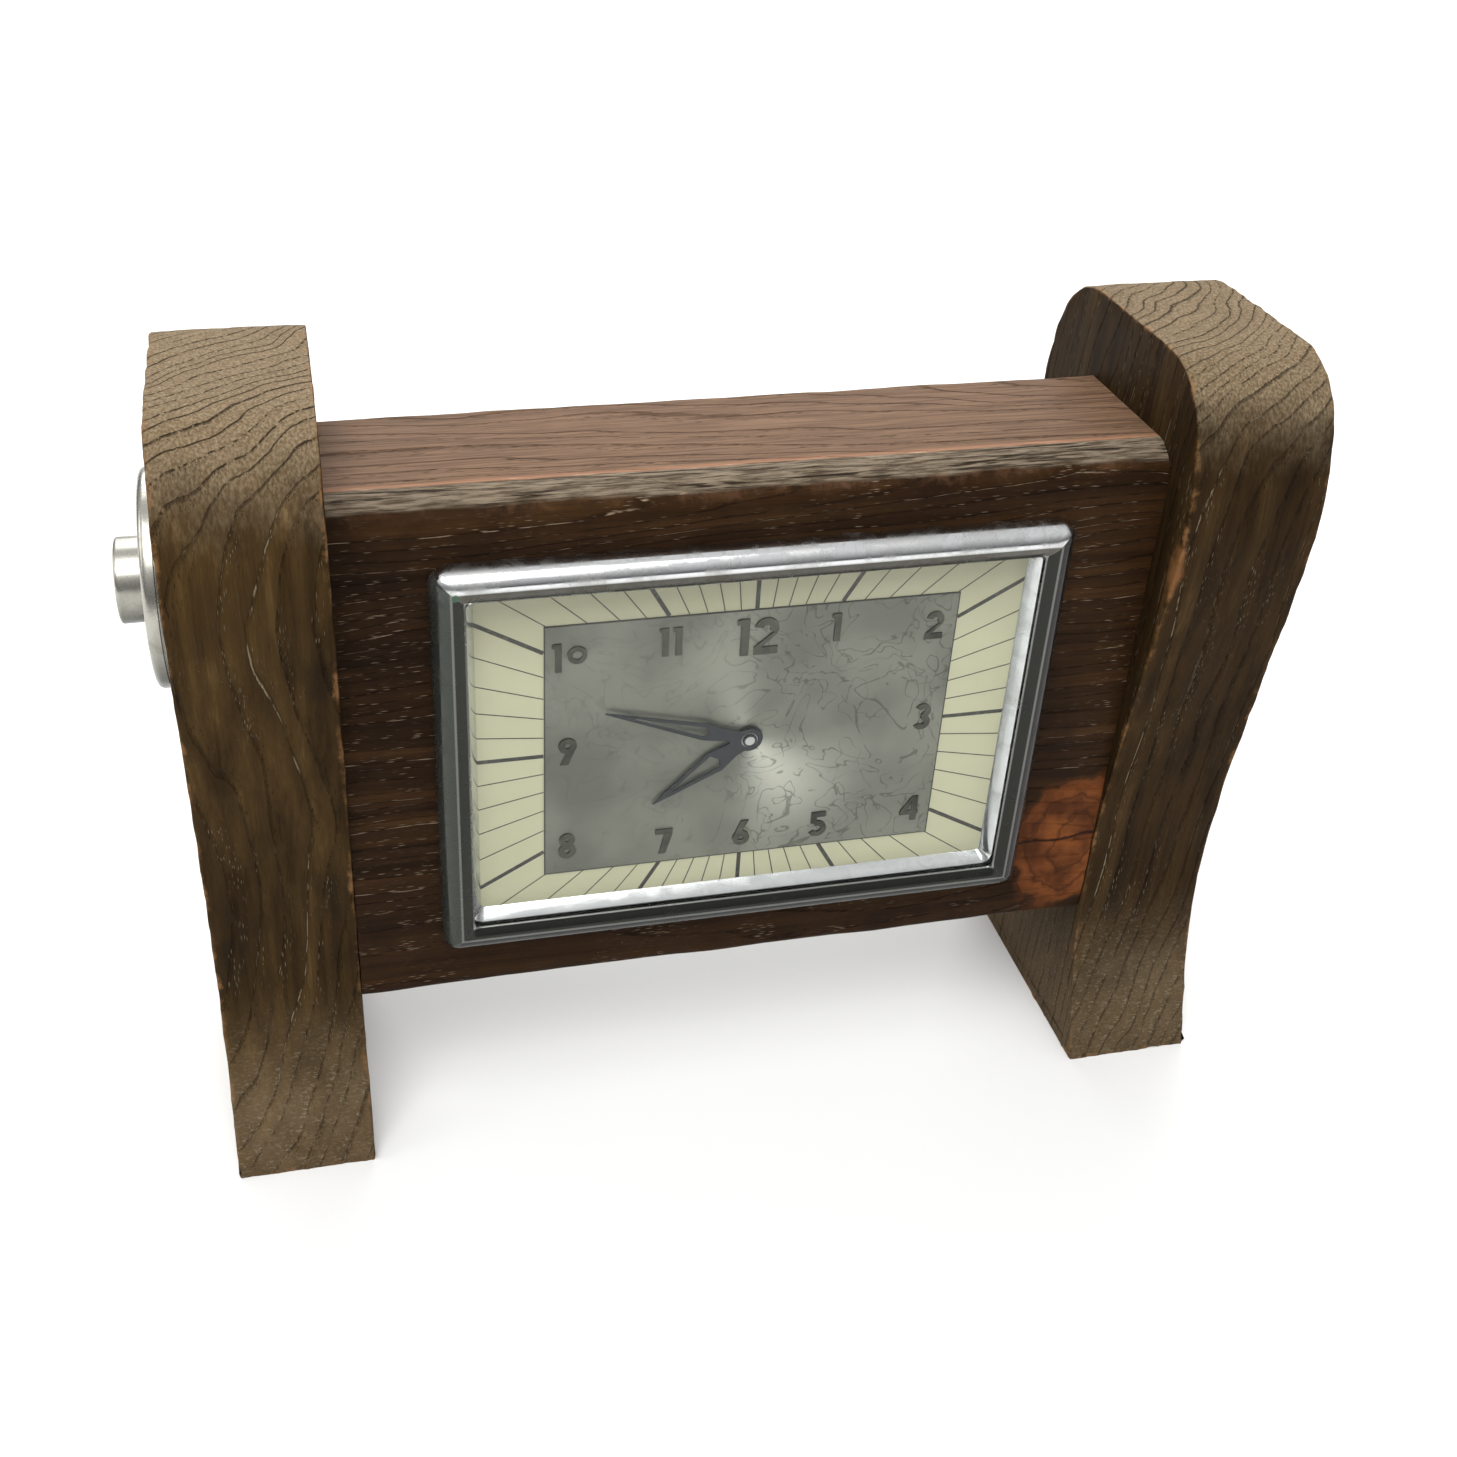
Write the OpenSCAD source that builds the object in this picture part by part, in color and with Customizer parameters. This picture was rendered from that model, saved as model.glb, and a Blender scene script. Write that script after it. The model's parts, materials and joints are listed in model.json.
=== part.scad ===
// Mantel clock: a wooden clock body carried between two shaped side slabs.
// Millimetres, +Z up, the dial faces -Y. The origin is on the floor, under the middle of the case.
// Between the slabs sits a spring-driven lever movement, wound and set from the back.

/* [Side slabs] */
// Thickness of each side slab
slab_t = 35; // [24:0.5:46]
// Depth of a slab at its foot
slab_d = 85; // [70:0.5:110]
// Height of the slabs
slab_h = 206; // [170:1:260]
// How far the waist of a slab is cut in, front and back
waist_in = 12; // [4:0.5:16]
// Height of the narrowest point of the waist
waist_z = 58; // [45:1:72]
// How far the shoulder stays behind the foot line
shoulder_in = 0.7; // [0:0.1:3]
// Distance from the top down to the fullest point of the shoulder
shoulder_drop = 41; // [30:1:50]
// How far the soft top corner reaches over the top
crown_run = 26; // [16:1:32]

/* [Body] */
// Length of the body between the slabs
body_l = 195; // [160:1:240]
// Height of the body
body_h = 139; // [130:1:170]
// Depth of the body
body_d = 46; // [46:0.5:80]
// Distance from the slabs' foot line back to the body's front
body_front_in = 12.5; // [8:0.5:20]
// Distance from the slabs' top down to the body's top
body_drop = 21; // [12:1:40]
// Rounding of the body's front top edge
body_edge_r = 8; // [3:0.5:12]
// Rounding of the body's other long edges
body_soft_r = 2; // [1:0.5:5]

/* [Joinery and roundels] */
// Radius of the wooden dowels
dowel_r = 5; // [3:0.5:7]
// Length of the wooden dowels
dowel_l = 40; // [24:1:56]
// Radius of the threaded side studs
stud_r = 4; // [2.5:0.5:5]
// Distance from the body's top down to the side studs
stud_drop = 30; // [26:1:40]
// Radius of the round nickel plates on the slabs
rosette_r = 25.5; // [18:0.5:30]
// Thickness of the round nickel plates
rosette_t = 5; // [2.5:0.1:8]
// Radius of the round cap nuts
cap_r = 10; // [7:0.5:13]
// How far a cap nut stands out of its plate
cap_l = 7; // [3.5:0.5:9]

/* [Bezel and glass] */
// Sideways place of the clock insert in the body
insert_x = -1; // [-4:0.5:4]
// Width of the bezel
bezel_w = 151.5; // [142:0.5:156]
// Height of the bezel
bezel_h = 108.4; // [104:0.2:118]
// How far the bezel's ridge stands out of the body
bezel_rise = 6.2; // [5.6:0.1:9]
// Distance from the bezel's outer edge to its ridge
ridge_in = 4.5; // [3.5:0.1:5.2]
// Distance from the bezel's outer edge to its opening
lip_in = 7.7; // [6.8:0.1:8.6]
// Drop from the ridge to the lip
lip_drop = 1.2; // [0.6:0.1:1.6]
// Rounding of the bezel's corners in the face
bezel_corner_r = 5; // [2:0.5:8]
// Thickness of the glass
glass_t = 1.6; // [1:0.1:2]

/* [Dial and hands] */
// Width of the silvered centre plate
centre_w = 100; // [90:1:112]
// Height of the silvered centre plate
centre_h = 72; // [66:1:80]
// Height of the large numeral
numeral_big = 10; // [8:0.5:11]
// Height of the other numerals
numeral_small = 7.6; // [6:0.2:9]
// Length of the minute hand from the centre
minute_l = 37.5; // [30:0.5:42]
// Length of the hour hand from the centre
hour_l = 28.8; // [22:0.4:33]
// Time shown, in minutes after twelve
time_shown = 468; // [0:1:719]

/* [Movement] */
// Outer radius of the movement's drum
drum_r = 44; // [43:0.5:48]
// Distance between the movement's plates
plate_gap = 22; // [21:0.5:24]
// Thickness of the movement's plates
plate_t = 1.5; // [1:0.1:2]
// Radius of the train pivots
pivot_r = 0.6; // [0.4:0.1:0.8]
// Module of the going barrel's teeth
barrel_m = 0.5; // [0.45:0.01:0.51]
// Module of the centre wheel's teeth
centre_m = 0.4; // [0.36:0.01:0.42]
// Module of the third wheel's teeth
third_m = 0.35; // [0.32:0.01:0.37]
// Module of the fourth wheel's teeth
fourth_m = 0.3; // [0.28:0.01:0.32]
// Radius of the balance wheel
balance_r = 7.5; // [6:0.5:8]
// Radius of the hand-setting knob
knob_r = 6.5; // [5:0.5:8]
// Width of the winding key's wings
key_w = 26; // [20:1:30]

/* [Hidden] */
$fn = 64;

// Fits: radial clearance of a glued or seated piece, of a running pivot and of a loose piece.
seat = 0.02;
running = 0.05;
loose = 0.5;
past = 1;

// Case places.
body_z = slab_h - body_drop - body_h;
body_y = body_front_in - slab_d / 2;
insert_z = body_z + body_h / 2;
stud_z = body_z + body_h - stud_drop;
dowel_z = body_z + body_h * 0.14;
insert_bore_l = 24;
insert_wall = 3;
cap_bore_l = 3.2;
plate_round = 1.6;
nut_groove = 1.6;
rim_groove = 3.6;
groove_r = 0.55;

// Depths of the insert, counted back from the body's front face.
lip_y = body_y - bezel_rise + lip_drop;
glass_seat = 0.4;
glass_y = lip_y + glass_seat;
glass_back = glass_y + glass_t;
dial_t = 0.8;
dial_back = body_y + dial_t;
centre_t = 0.3;
numeral_t = 0.4;
side_margin = 5.6;
level_margin = 6.7;
corner_margin = 8.5;
skirt_l = 8;
skirt_t = 1.2;
glass_over = 1.5;
drum_flange = 1.5;
opening_w = bezel_w - 2 * lip_in;
bezel_high = max(bezel_h, 2 * (drum_r + drum_flange + seat - glass_over + lip_in));
opening_h = bezel_high - 2 * lip_in;
glass_w = opening_w + 2 * glass_over;
glass_h = opening_h + 2 * glass_over;
sight_in = 2.2;
recess_w = glass_w + 2 * skirt_t + 2 * loose;
recess_h = glass_h + 2 * skirt_t + 2 * loose;
recess_l = skirt_l + past;

// Hands, counted forward from the body's front face.
hand_t = 0.3;
hour_lift = 1.2;
hand_step = 0.6;
nut_step = 0.45;
hour_y = body_y - hour_lift;
minute_y = hour_y - hand_step;
nut_y = minute_y - nut_step;
minute_angle = 90 - (time_shown % 60) * 6;
hour_angle = 90 - time_shown / 2;
cannon_r = 2;
hour_hub_r = 3.5;
hour_wide = 6.6;
hour_neck = 0.35;
minute_hub_r = 3.2;
minute_wide = 4.8;
minute_neck = 0.31;
hand_point = 0.15;
hand_arm = 1.1;
hour_pipe_r = 2.8;
centre_arbor_r = 1.2;

// Movement depths.
motion_room = 7.7;
plate_y = dial_back + motion_room;
gap_y = plate_y + plate_t;
back_y = gap_y + plate_gap;
back_end = back_y + plate_t;
drum_wall = 0.8;
ratchet_room = 8.5;
drum_end = back_end + ratchet_room;
shoulder_w = 7.5;
cover_r = drum_r + shoulder_w - loose;
cover_t = 1;
cover_stand = 0.8;
cover_y = drum_end + cover_stand;
cover_sunk = 0.4;

// The body reaches at least behind the back cover, however deep the movement is made.
body_back = max(body_y + body_d, cover_y + cover_t + cover_sunk);
body_deep = body_back - body_y;
dowel_span = body_deep * 0.5;
dowel_y = body_y + body_deep / 2;

plate_r = drum_r - 5;
feet_r = plate_r - 5;
pillar_r = 2.5;
pillar_ring = plate_r - 3;
pillar_angles = [12, 100, 170, 290];
tie_r = 1.2;
tie_head_r = 1.8;
tie_head_t = 1.2;
cover_screw_r = 0.95;
cover_head_r = 2.4;
cover_head_t = 1.3;
cover_screw_l = 8;
plate_screw_r = 1;
plate_head_r = 2;
plate_head_t = 1.2;
plate_screw_l = 5;
tie_ring = plate_r + 2.1;
lug_r = drum_r - drum_wall - tie_ring - 0.1;
lug_l = 5;
tie_angles = [60, 240];
screw_ring = drum_r + 4;
screw_angles = [45, 135, 225, 315];

// Wheel teeth, and the centres of the wheels about the dial's centre.
barrel_n = 72;
pinion_n = 12;
centre_n = 64;
third_n = 60;
fourth_n = 64;
leaf_n = 8;
escape_n = 15;
cannon_n = 12;
minute_n = 36;
set_n = 18;
hour_n = 48;
motion_m = 0.5;
hour_m = motion_m * (cannon_n + minute_n) / (cannon_n + hour_n);
add = 0.75;
ded = 1.05;
barrel_dir = 215;
third_dir = 20;
fourth_dir = 130;
escape_dir = 160;
lever_dir = 180;
minute_dir = 300;
set_dir = 350;
barrel_at = polar(barrel_m * (barrel_n + pinion_n) / 2, barrel_dir);
third_at = polar(centre_m * (centre_n + leaf_n) / 2, third_dir);
fourth_at = third_at + polar(third_m * (third_n + leaf_n) / 2, fourth_dir);
escape_at = fourth_at + polar(fourth_m * (fourth_n + leaf_n) / 2, escape_dir);
escape_r = 6.2;
lever_step = 2.6;
balance_step = 9;
click_reach = 13.2;
click_dir = 75;
lever_at = escape_at + polar(escape_r + lever_step, lever_dir);
balance_at = lever_at + polar(balance_step, lever_dir);
minute_at = polar(motion_m * (cannon_n + minute_n) / 2, minute_dir);
set_at = minute_at + polar(motion_m * (minute_n + set_n) / 2, set_dir);
arbor_r = 1;
set_r = 1.5;
barrel_pivot_r = 2;
barrel_hub_r = 3;
barrel_shell_r = 16.5;
barrel_wall = 0.8;
mainspring_t = 0.35;
mainspring_room = 1.5;
barrel_shake = 0.5;

// Depths of the wheels between the plates, each counted back from the front plate.
barrel_y = gap_y + 2;
barrel_l = 14;
barrel_teeth_l = 2;
barrel_end = barrel_y + barrel_l;
centre_wheel_y = barrel_end + 2.4;
third_wheel_y = gap_y + 8;
fourth_wheel_y = gap_y + 4;
escape_wheel_y = gap_y + 10;
balance_y = gap_y + 13.5;
hairspring_y = gap_y + 16;
wheel_t = 0.8;

// Behind the back plate.
ratchet_y = back_end + 0.5;
ratchet_t = 1.2;
ratchet_r = 8;
ratchet_n = 24;
click_at = barrel_at + polar(click_reach, click_dir);
click_pin_r = 1;
click_spring_t = 0.8;
cap_ring_r = 2.2;
regulator_y = back_end + 0.4;
regulator_t = 0.8;
regulator_l = 11.5;
regulator_swing = 25;
regulator_pin_r = 0.9;
regulator_dir = 100;
handle_y = cover_y + cover_t + 1.2;
handle_l = 11;
key_r = 3.6;
key_wing_t = 2;
key_free = 1;

wood_dark = [0.27, 0.18, 0.12];
wood_red = [0.33, 0.19, 0.12];
nickel = [0.72, 0.71, 0.68];
chrome = [0.8, 0.81, 0.82];
brass = [0.78, 0.62, 0.3];
steel = [0.55, 0.56, 0.58];
blued = [0.2, 0.22, 0.26];

function polar(r, a) = [r * cos(a), r * sin(a)];

// Inset of a slab's edge from the foot line, at height z.
shoulder_z = slab_h - shoulder_drop;
function slab_in(z) =
    z <= waist_z ? waist_in * sin(90 * z / waist_z)
    : z <= shoulder_z ? shoulder_in + (waist_in - shoulder_in)
        * pow(cos(90 * (z - waist_z) / (shoulder_z - waist_z)), 1.3)
    : shoulder_in + crown_run * (1 - pow(1 - pow((z - shoulder_z) / shoulder_drop, 2.5), 0.4));
waist_steps = 10;
rise_steps = 18;
crown_steps = 14;
slab_levels = concat(
    [for (i = [0 : waist_steps - 1]) waist_z * i / waist_steps],
    [for (i = [0 : rise_steps - 1]) waist_z + (shoulder_z - waist_z) * i / rise_steps],
    [for (i = [0 : crown_steps]) shoulder_z + shoulder_drop * sin(90 * i / crown_steps)]
);

// One side of the slab's outline, and the whole outline in Y and Z.
function slab_edge(side) = [for (z = slab_levels) [side * (slab_d / 2 - slab_in(z)), z]];
function reversed(list) = [for (i = [len(list) - 1 : -1 : 0]) list[i]];

// Tooth outline: a tooth stands centred on the angle "at".
function tooth_ring(n, m, at) = [
    for (i = [0 : n - 1])
        for (k = [0 : 3])
            let (spread = [-0.24, -0.09, 0.09, 0.24][k])
            let (r = m * n / 2 + (k == 1 || k == 2 ? add : -ded) * m)
            polar(r, at + 360 / n * (i + spread))
];

// Saw-shaped teeth for the ratchet and the escape wheel.
function saw_ring(n, r_tip, r_root) = [
    for (i = [0 : n - 1])
        for (k = [0 : 1])
            polar(k == 0 ? r_tip : r_root, 360 / n * (i + (k == 0 ? 0 : 0.12)))
];

// A flat spiral strip of a given thickness, as one closed outline.
function spiral_side(r0, r1, turns, off) = [
    for (i = [0 : turns * 18]) polar(r0 + off + (r1 - r0) * i / (turns * 18), i * 20)
];

// Draws a face outline, given in X and Z about the dial's centre, from depth y over length l.
module facing(y, l) {
    translate([insert_x, y + l, insert_z]) rotate([90, 0, 0]) linear_extrude(l) children();
}

module pin(at, r, y0, y1) {
    facing(y0, y1 - y0) translate(at) circle(r);
}

// A rectangle with round corners, centred.
module soft_rect(w, h, r) {
    square([w - 2 * r, h], center = true);
    square([w, h - 2 * r], center = true);
    for (sx = [-1, 1], sz = [-1, 1])
        translate([sx * (w / 2 - r), sz * (h / 2 - r)]) circle(r);
}

module toothed(n, m, at, bore) {
    difference() {
        polygon(tooth_ring(n, m, at));
        circle(bore);
    }
}

// Four sectors cut out of a wheel, which leave its crossings.
module crossings(r_out, r_in, arm) {
    difference() {
        circle(r_out);
        circle(r_in);
        for (a = [45, 135]) rotate(a) square([3 * r_out, arm], center = true);
    }
}

module arbor(at, r, pr) {
    pin(at, r, gap_y + 0.3, back_y - 0.3);
    pin(at, pr, gap_y - plate_t * 0.7, back_y + plate_t * 0.7);
}

// Case

module slab(side) {
    translate([side > 0 ? body_l / 2 : -body_l / 2 - slab_t, 0, 0])
        rotate([90, 0, 90])
            linear_extrude(slab_t)
                polygon(concat(slab_edge(-1), reversed(slab_edge(1))));
}

module side_rod(side, r, x0, x1, y, z) {
    translate([side * x0, y, z]) rotate([0, side * 90, 0]) cylinder(r = r, h = x1 - x0);
}

module dowel_pair(side, r, extra) {
    for (s = [-1, 1])
        side_rod(side, r, (body_l - dowel_l) / 2 - extra, (body_l + dowel_l) / 2 + extra,
            dowel_y + s * dowel_span / 2, dowel_z);
}

module drilled_slab(side) {
    difference() {
        slab(side);
        dowel_pair(side, dowel_r + seat, seat);
        side_rod(side, stud_r + loose, body_l / 2 - past, body_l / 2 + slab_t + past, 0, stud_z);
    }
}

module slab_left() {
    color(wood_dark) drilled_slab(-1);
}

module slab_right() {
    color(wood_dark) drilled_slab(1);
}

// Cuts the square corner off a profile at its origin, leaving a quarter round.
module corner_cut(r) {
    difference() {
        translate([-past, -past]) square(r + past);
        translate([r, r]) circle(r);
    }
}

module body_profile() {
    difference() {
        square([body_deep, body_h]);
        corner_cut(body_soft_r);
        translate([body_deep, 0]) mirror([1, 0]) corner_cut(body_soft_r);
        translate([0, body_h]) mirror([0, 1]) corner_cut(body_edge_r);
        translate([body_deep, body_h]) mirror([1, 0]) mirror([0, 1]) corner_cut(body_soft_r);
    }
}

module body_block() {
    color(wood_red)
        difference() {
            translate([-body_l / 2, body_y, body_z])
                rotate([90, 0, 90]) linear_extrude(body_l) body_profile();
            facing(body_y - past, recess_l + past) square([recess_w, recess_h], center = true);
            facing(body_y, cover_y - body_y + past) circle(drum_r + loose);
            facing(cover_y, body_back - cover_y + past) circle(drum_r + shoulder_w);
            for (a = screw_angles)
                pin(polar(screw_ring, a), cover_screw_r + running,
                    cover_y - cover_screw_l - past, cover_y + past);
            for (side = [-1, 1]) {
                dowel_pair(side, dowel_r + seat, seat);
                side_rod(side, stud_r + insert_wall + seat,
                    body_l / 2 - insert_bore_l - past, body_l / 2 + past, 0, stud_z);
            }
        }
}

module dowels() {
    color("burlywood") for (side = [-1, 1]) dowel_pair(side, dowel_r, 0);
}

module side_studs() {
    color(steel)
        for (side = [-1, 1])
            side_rod(side, stud_r, body_l / 2 - insert_bore_l + past,
                body_l / 2 + slab_t + rosette_t + cap_bore_l - seat, 0, stud_z);
}

module stud_inserts() {
    color(brass)
        for (side = [-1, 1])
            difference() {
                side_rod(side, stud_r + insert_wall, body_l / 2 - insert_bore_l, body_l / 2,
                    0, stud_z);
                side_rod(side, stud_r + seat, body_l / 2 - insert_bore_l - past,
                    body_l / 2 + past, 0, stud_z);
            }
}

// A turned plate with a rounded rim and fine grooves.
module rosette(side) {
    translate([side * (body_l / 2 + slab_t), 0, stud_z]) rotate([0, side * 90, 0])
        difference() {
            rotate_extrude()
                difference() {
                    union() {
                        square([rosette_r - plate_round, rosette_t]);
                        square([rosette_r, rosette_t - plate_round]);
                        translate([rosette_r - plate_round, rosette_t - plate_round]) circle(plate_round);
                    }
                    translate([cap_r + nut_groove, rosette_t]) circle(groove_r);
                    translate([rosette_r - rim_groove, rosette_t]) circle(groove_r);
                    translate([rosette_r, rosette_t * 0.35]) circle(groove_r / 2);
                }
            translate([0, 0, -past]) cylinder(r = stud_r + loose, h = rosette_t + 2 * past);
        }
}

module rosette_left() {
    color(nickel) rosette(-1);
}

module rosette_right() {
    color(nickel) rosette(1);
}

module cap_nut(side) {
    edge = 0.8;
    translate([side * (body_l / 2 + slab_t + rosette_t), 0, stud_z]) rotate([0, side * 90, 0])
        difference() {
            rotate_extrude()
                union() {
                    square([cap_r, cap_l - edge]);
                    square([cap_r - edge, cap_l]);
                    translate([cap_r - edge, cap_l - edge]) circle(edge);
                }
            translate([0, 0, -past]) cylinder(r = stud_r + seat, h = cap_bore_l + past);
        }
}

module cap_nut_left() {
    color(nickel) cap_nut(-1);
}

module cap_nut_right() {
    color(nickel) cap_nut(1);
}

// Bezel, glass and dial

// The outer form across one span: a quarter-elliptical shoulder on each side of a flat.
module bezel_section(span) {
    shoulder = [for (i = [0 : 8]) [ridge_in * (1 - cos(90 * i / 8)), bezel_rise * sin(90 * i / 8)]];
    polygon(concat(
        [for (p = shoulder) [p[0] - span / 2, p[1]]],
        [for (p = reversed(shoulder)) [span / 2 - p[0], p[1]]]
    ));
}

// The sloping inside, across one span, from the ridge down to the lip.
module lip_section(span) {
    top = span - 2 * ridge_in;
    low = span - 2 * lip_in;
    polygon([[-low / 2, -past], [low / 2, -past], [low / 2, bezel_rise - lip_drop],
        [top / 2, bezel_rise], [top / 2, bezel_rise + past], [-top / 2, bezel_rise + past],
        [-top / 2, bezel_rise], [-low / 2, bezel_rise - lip_drop]]);
}

// Crosses two sections, so that they meet on a mitre at each corner.
module mitred(w, h) {
    intersection() {
        translate([insert_x, body_y, insert_z - h]) linear_extrude(2 * h)
            mirror([0, 1]) children(0);
        translate([insert_x - w, body_y, insert_z]) rotate([90, 0, 90]) linear_extrude(2 * w)
            rotate(90) children(1);
    }
}

module bezel() {
    color(chrome)
        difference() {
            union() {
                intersection() {
                    mitred(bezel_w, bezel_high) {
                        bezel_section(bezel_w);
                        bezel_section(bezel_high);
                    }
                    facing(body_y - bezel_rise - past, bezel_rise + 2 * past)
                        soft_rect(bezel_w, bezel_high, bezel_corner_r);
                }
                facing(body_y, skirt_l)
                    square([glass_w + 2 * skirt_t, glass_h + 2 * skirt_t], center = true);
            }
            mitred(bezel_w, bezel_high) {
                lip_section(bezel_w);
                lip_section(bezel_high);
            }
            facing(glass_y - seat, skirt_l + bezel_rise + past)
                square([glass_w + 2 * seat, glass_h + 2 * seat], center = true);
        }
}

module glass() {
    color([0.8, 0.88, 0.86, 0.35])
        facing(glass_y, glass_t) square([glass_w, glass_h], center = true);
}

// Cuts the polished inner slope, from the glass down to the dial.
module sight_section(span) {
    slope = body_y - glass_back;
    polygon([[-span / 2, slope], [-span / 2, slope + past], [span / 2, slope + past],
        [span / 2, slope], [span / 2 - sight_in, 0], [span / 2 - sight_in, -past],
        [sight_in - span / 2, -past], [sight_in - span / 2, 0]]);
}

module sight_ring() {
    color(chrome)
        difference() {
            facing(glass_back + seat, body_y - glass_back - 2 * seat)
                square([glass_w, glass_h], center = true);
            mitred(bezel_w, bezel_high) {
                sight_section(opening_w);
                sight_section(opening_h);
            }
        }
}

module dial_plate() {
    color([0.82, 0.8, 0.68])
        difference() {
            union() {
                facing(body_y, dial_t) square([glass_w, glass_h], center = true);
                for (a = tie_angles) pin(polar(tie_ring, a), lug_r, body_y, dial_back + lug_l);
            }
            pin([0, 0], hour_pipe_r + loose, body_y - past, dial_back + past);
            for (a = tie_angles)
                pin(polar(tie_ring, a), tie_r + seat, dial_back + 0.4, dial_back + lug_l + past);
        }
}

module dial_centre() {
    color([0.6, 0.6, 0.57])
        difference() {
            facing(body_y - centre_t, centre_t) square([centre_w, centre_h], center = true);
            pin([0, 0], hour_pipe_r + loose, body_y - centre_t - past, body_y + past);
        }
}

module arc_band(r, s, from, to) {
    steps = 8;
    intersection() {
        difference() {
            circle(r);
            circle(r - s);
        }
        polygon(concat([[0, 0]],
            [for (i = [0 : steps]) polar(3 * r, from + (to - from) * i / steps)]));
    }
}

// A numeral's strokes: h is its height, s the stroke and r the radius of its bowls.
module digit(d, h) {
    s = h * 0.2;
    r = h * 0.29;
    top = h / 2;
    if (d == 0) {
        difference() {
            circle(r);
            circle(r - s * 0.75);
        }
    }
    if (d == 1) {
        square([s, h], center = true);
        polygon([[-s / 2, top], [-s, top - s * 0.1], [-s, top - s * 0.7], [-s / 2, top - s * 0.7]]);
    }
    if (d == 2) {
        translate([0, top - r]) arc_band(r, s, -35, 170);
        polygon([[-r, -top], [-r, s - top], [r * 0.5, top - 1.45 * r], [r * 0.9, top - 1.5 * r],
            [s * 0.9 - r, s - top], [r, s - top], [r, -top]]);
    }
    if (d == 3) {
        translate([0, top - r * 0.95]) arc_band(r * 0.95, s, -85, 150);
        translate([0, r - top]) arc_band(r, s, -150, 85);
        translate([-s * 0.2, -s * 0.35]) square([s, s * 0.9]);
    }
    if (d == 4) {
        translate([r * 0.25, -top]) square([s, h]);
        polygon([[-r * 1.1, -top * 0.5], [-r * 1.1, s * 0.8 - top * 0.5], [r * 0.25, top],
            [r * 0.55, top], [s * 1.1 - r, s * 0.8 - top * 0.5], [r * 1.1, s * 0.8 - top * 0.5],
            [r * 1.1, -top * 0.5]]);
    }
    if (d == 5) {
        translate([-r * 0.8, top - s]) square([r * 1.7, s]);
        translate([-r * 0.8, r * 0.15]) square([s, top - r * 0.15]);
        translate([0, r * 1.1 - top]) arc_band(r * 1.1, s, -150, 125);
    }
    if (d == 6) {
        translate([0, r - top]) difference() {
            circle(r);
            circle(r - s);
        }
        polygon([[-r, r - top], [-r * 0.1, top], [s * 1.3 - r * 0.1, top], [s - r, r - top]]);
    }
    if (d == 7) {
        translate([-r, top - s]) square([2 * r, s]);
        polygon([[r, top], [r - s * 1.2, top - s / 2], [-r * 0.5, -top], [s * 1.1 - r * 0.5, -top],
            [r, top - s]]);
    }
    if (d == 8) {
        for (z = [top - r * 0.9, r - top])
            translate([0, z]) difference() {
                circle(z > 0 ? r * 0.9 : r);
                circle((z > 0 ? r * 0.9 : r) - s);
            }
    }
    if (d == 9) {
        rotate(180) digit(6, h);
    }
}

module two_digits(a, b, h, apart) {
    translate([-apart / 2, 0]) digit(a, h);
    translate([apart / 2, 0]) digit(b, h);
}

// The numerals stand in a rectangle: columns near the middle and at the sides.
module numerals() {
    col = centre_w * 0.2;
    edge = centre_w / 2 - side_margin;
    row = centre_h / 2 - level_margin;
    edge_row = centre_h / 2 - corner_margin;
    color([0.66, 0.66, 0.62])
        facing(body_y - centre_t - numeral_t, numeral_t) {
            translate([0, row - 0.6]) two_digits(1, 2, numeral_big, numeral_big * 0.52);
            translate([-col, row]) two_digits(1, 1, numeral_small, numeral_small * 0.42);
            translate([-edge, edge_row]) {
                translate([-numeral_small * 0.3, 0]) digit(1, numeral_small);
                translate([numeral_small * 0.28, 0.4]) digit(0, numeral_small * 1.05);
            }
            for (n = [[9, -edge, 1], [8, -edge, -edge_row], [7, -col, -row], [6, 0, -row],
                [5, col, -row], [4, edge, -edge_row], [3, edge, 1], [2, edge, edge_row],
                [1, col, row]])
                translate([n[1], n[2]]) digit(n[0], numeral_small);
        }
}

// Small bent clips that hold the dial against the sight ring.
module dial_clips() {
    clip_w = 5;
    clip_t = 0.8;
    color(brass)
        for (sx = [-1, 1], sz = [-1, 1])
            facing(dial_back, clip_t)
                translate([sx * glass_w * 0.3, sz * (glass_h / 2 - 1.5)])
                    square([clip_w, 3], center = true);
}

// A skeleton hand along +X: a solid neck that widens to a shoulder, then two arms that meet in a point.
module hand_outline(l, hub, neck, wide, bore) {
    shoulder = l * neck;
    open_to = l * 0.8;
    difference() {
        union() {
            circle(hub);
            polygon([[0, -hub * 0.7], [shoulder * 0.5, -wide * 0.33], [shoulder, -wide / 2],
                [l, -hand_point], [l, hand_point], [shoulder, wide / 2],
                [shoulder * 0.5, wide * 0.33], [0, hub * 0.7]]);
        }
        polygon([[shoulder - hand_arm, 0], [shoulder, hand_arm - wide / 2], [open_to, -hand_point],
            [open_to, hand_point], [shoulder, wide / 2 - hand_arm]]);
        circle(bore);
    }
}

module hour_hand() {
    color(blued)
        facing(hour_y, hand_t)
            rotate(hour_angle) hand_outline(hour_l, hour_hub_r, hour_neck, hour_wide, hour_pipe_r + seat);
}

module minute_hand() {
    color(blued)
        facing(minute_y, hand_t)
            rotate(minute_angle)
                hand_outline(minute_l, minute_hub_r, minute_neck, minute_wide, cannon_r + seat);
}

module hand_nut() {
    color(blued)
        difference() {
            union() {
                pin([0, 0], cannon_r - 0.2, nut_y + 0.15, minute_y);
                pin([0, 0], cannon_r - 0.5, nut_y, minute_y);
            }
            pin([0, 0], centre_arbor_r + running, nut_y - past, minute_y + past);
        }
}

// Movement housing

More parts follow.
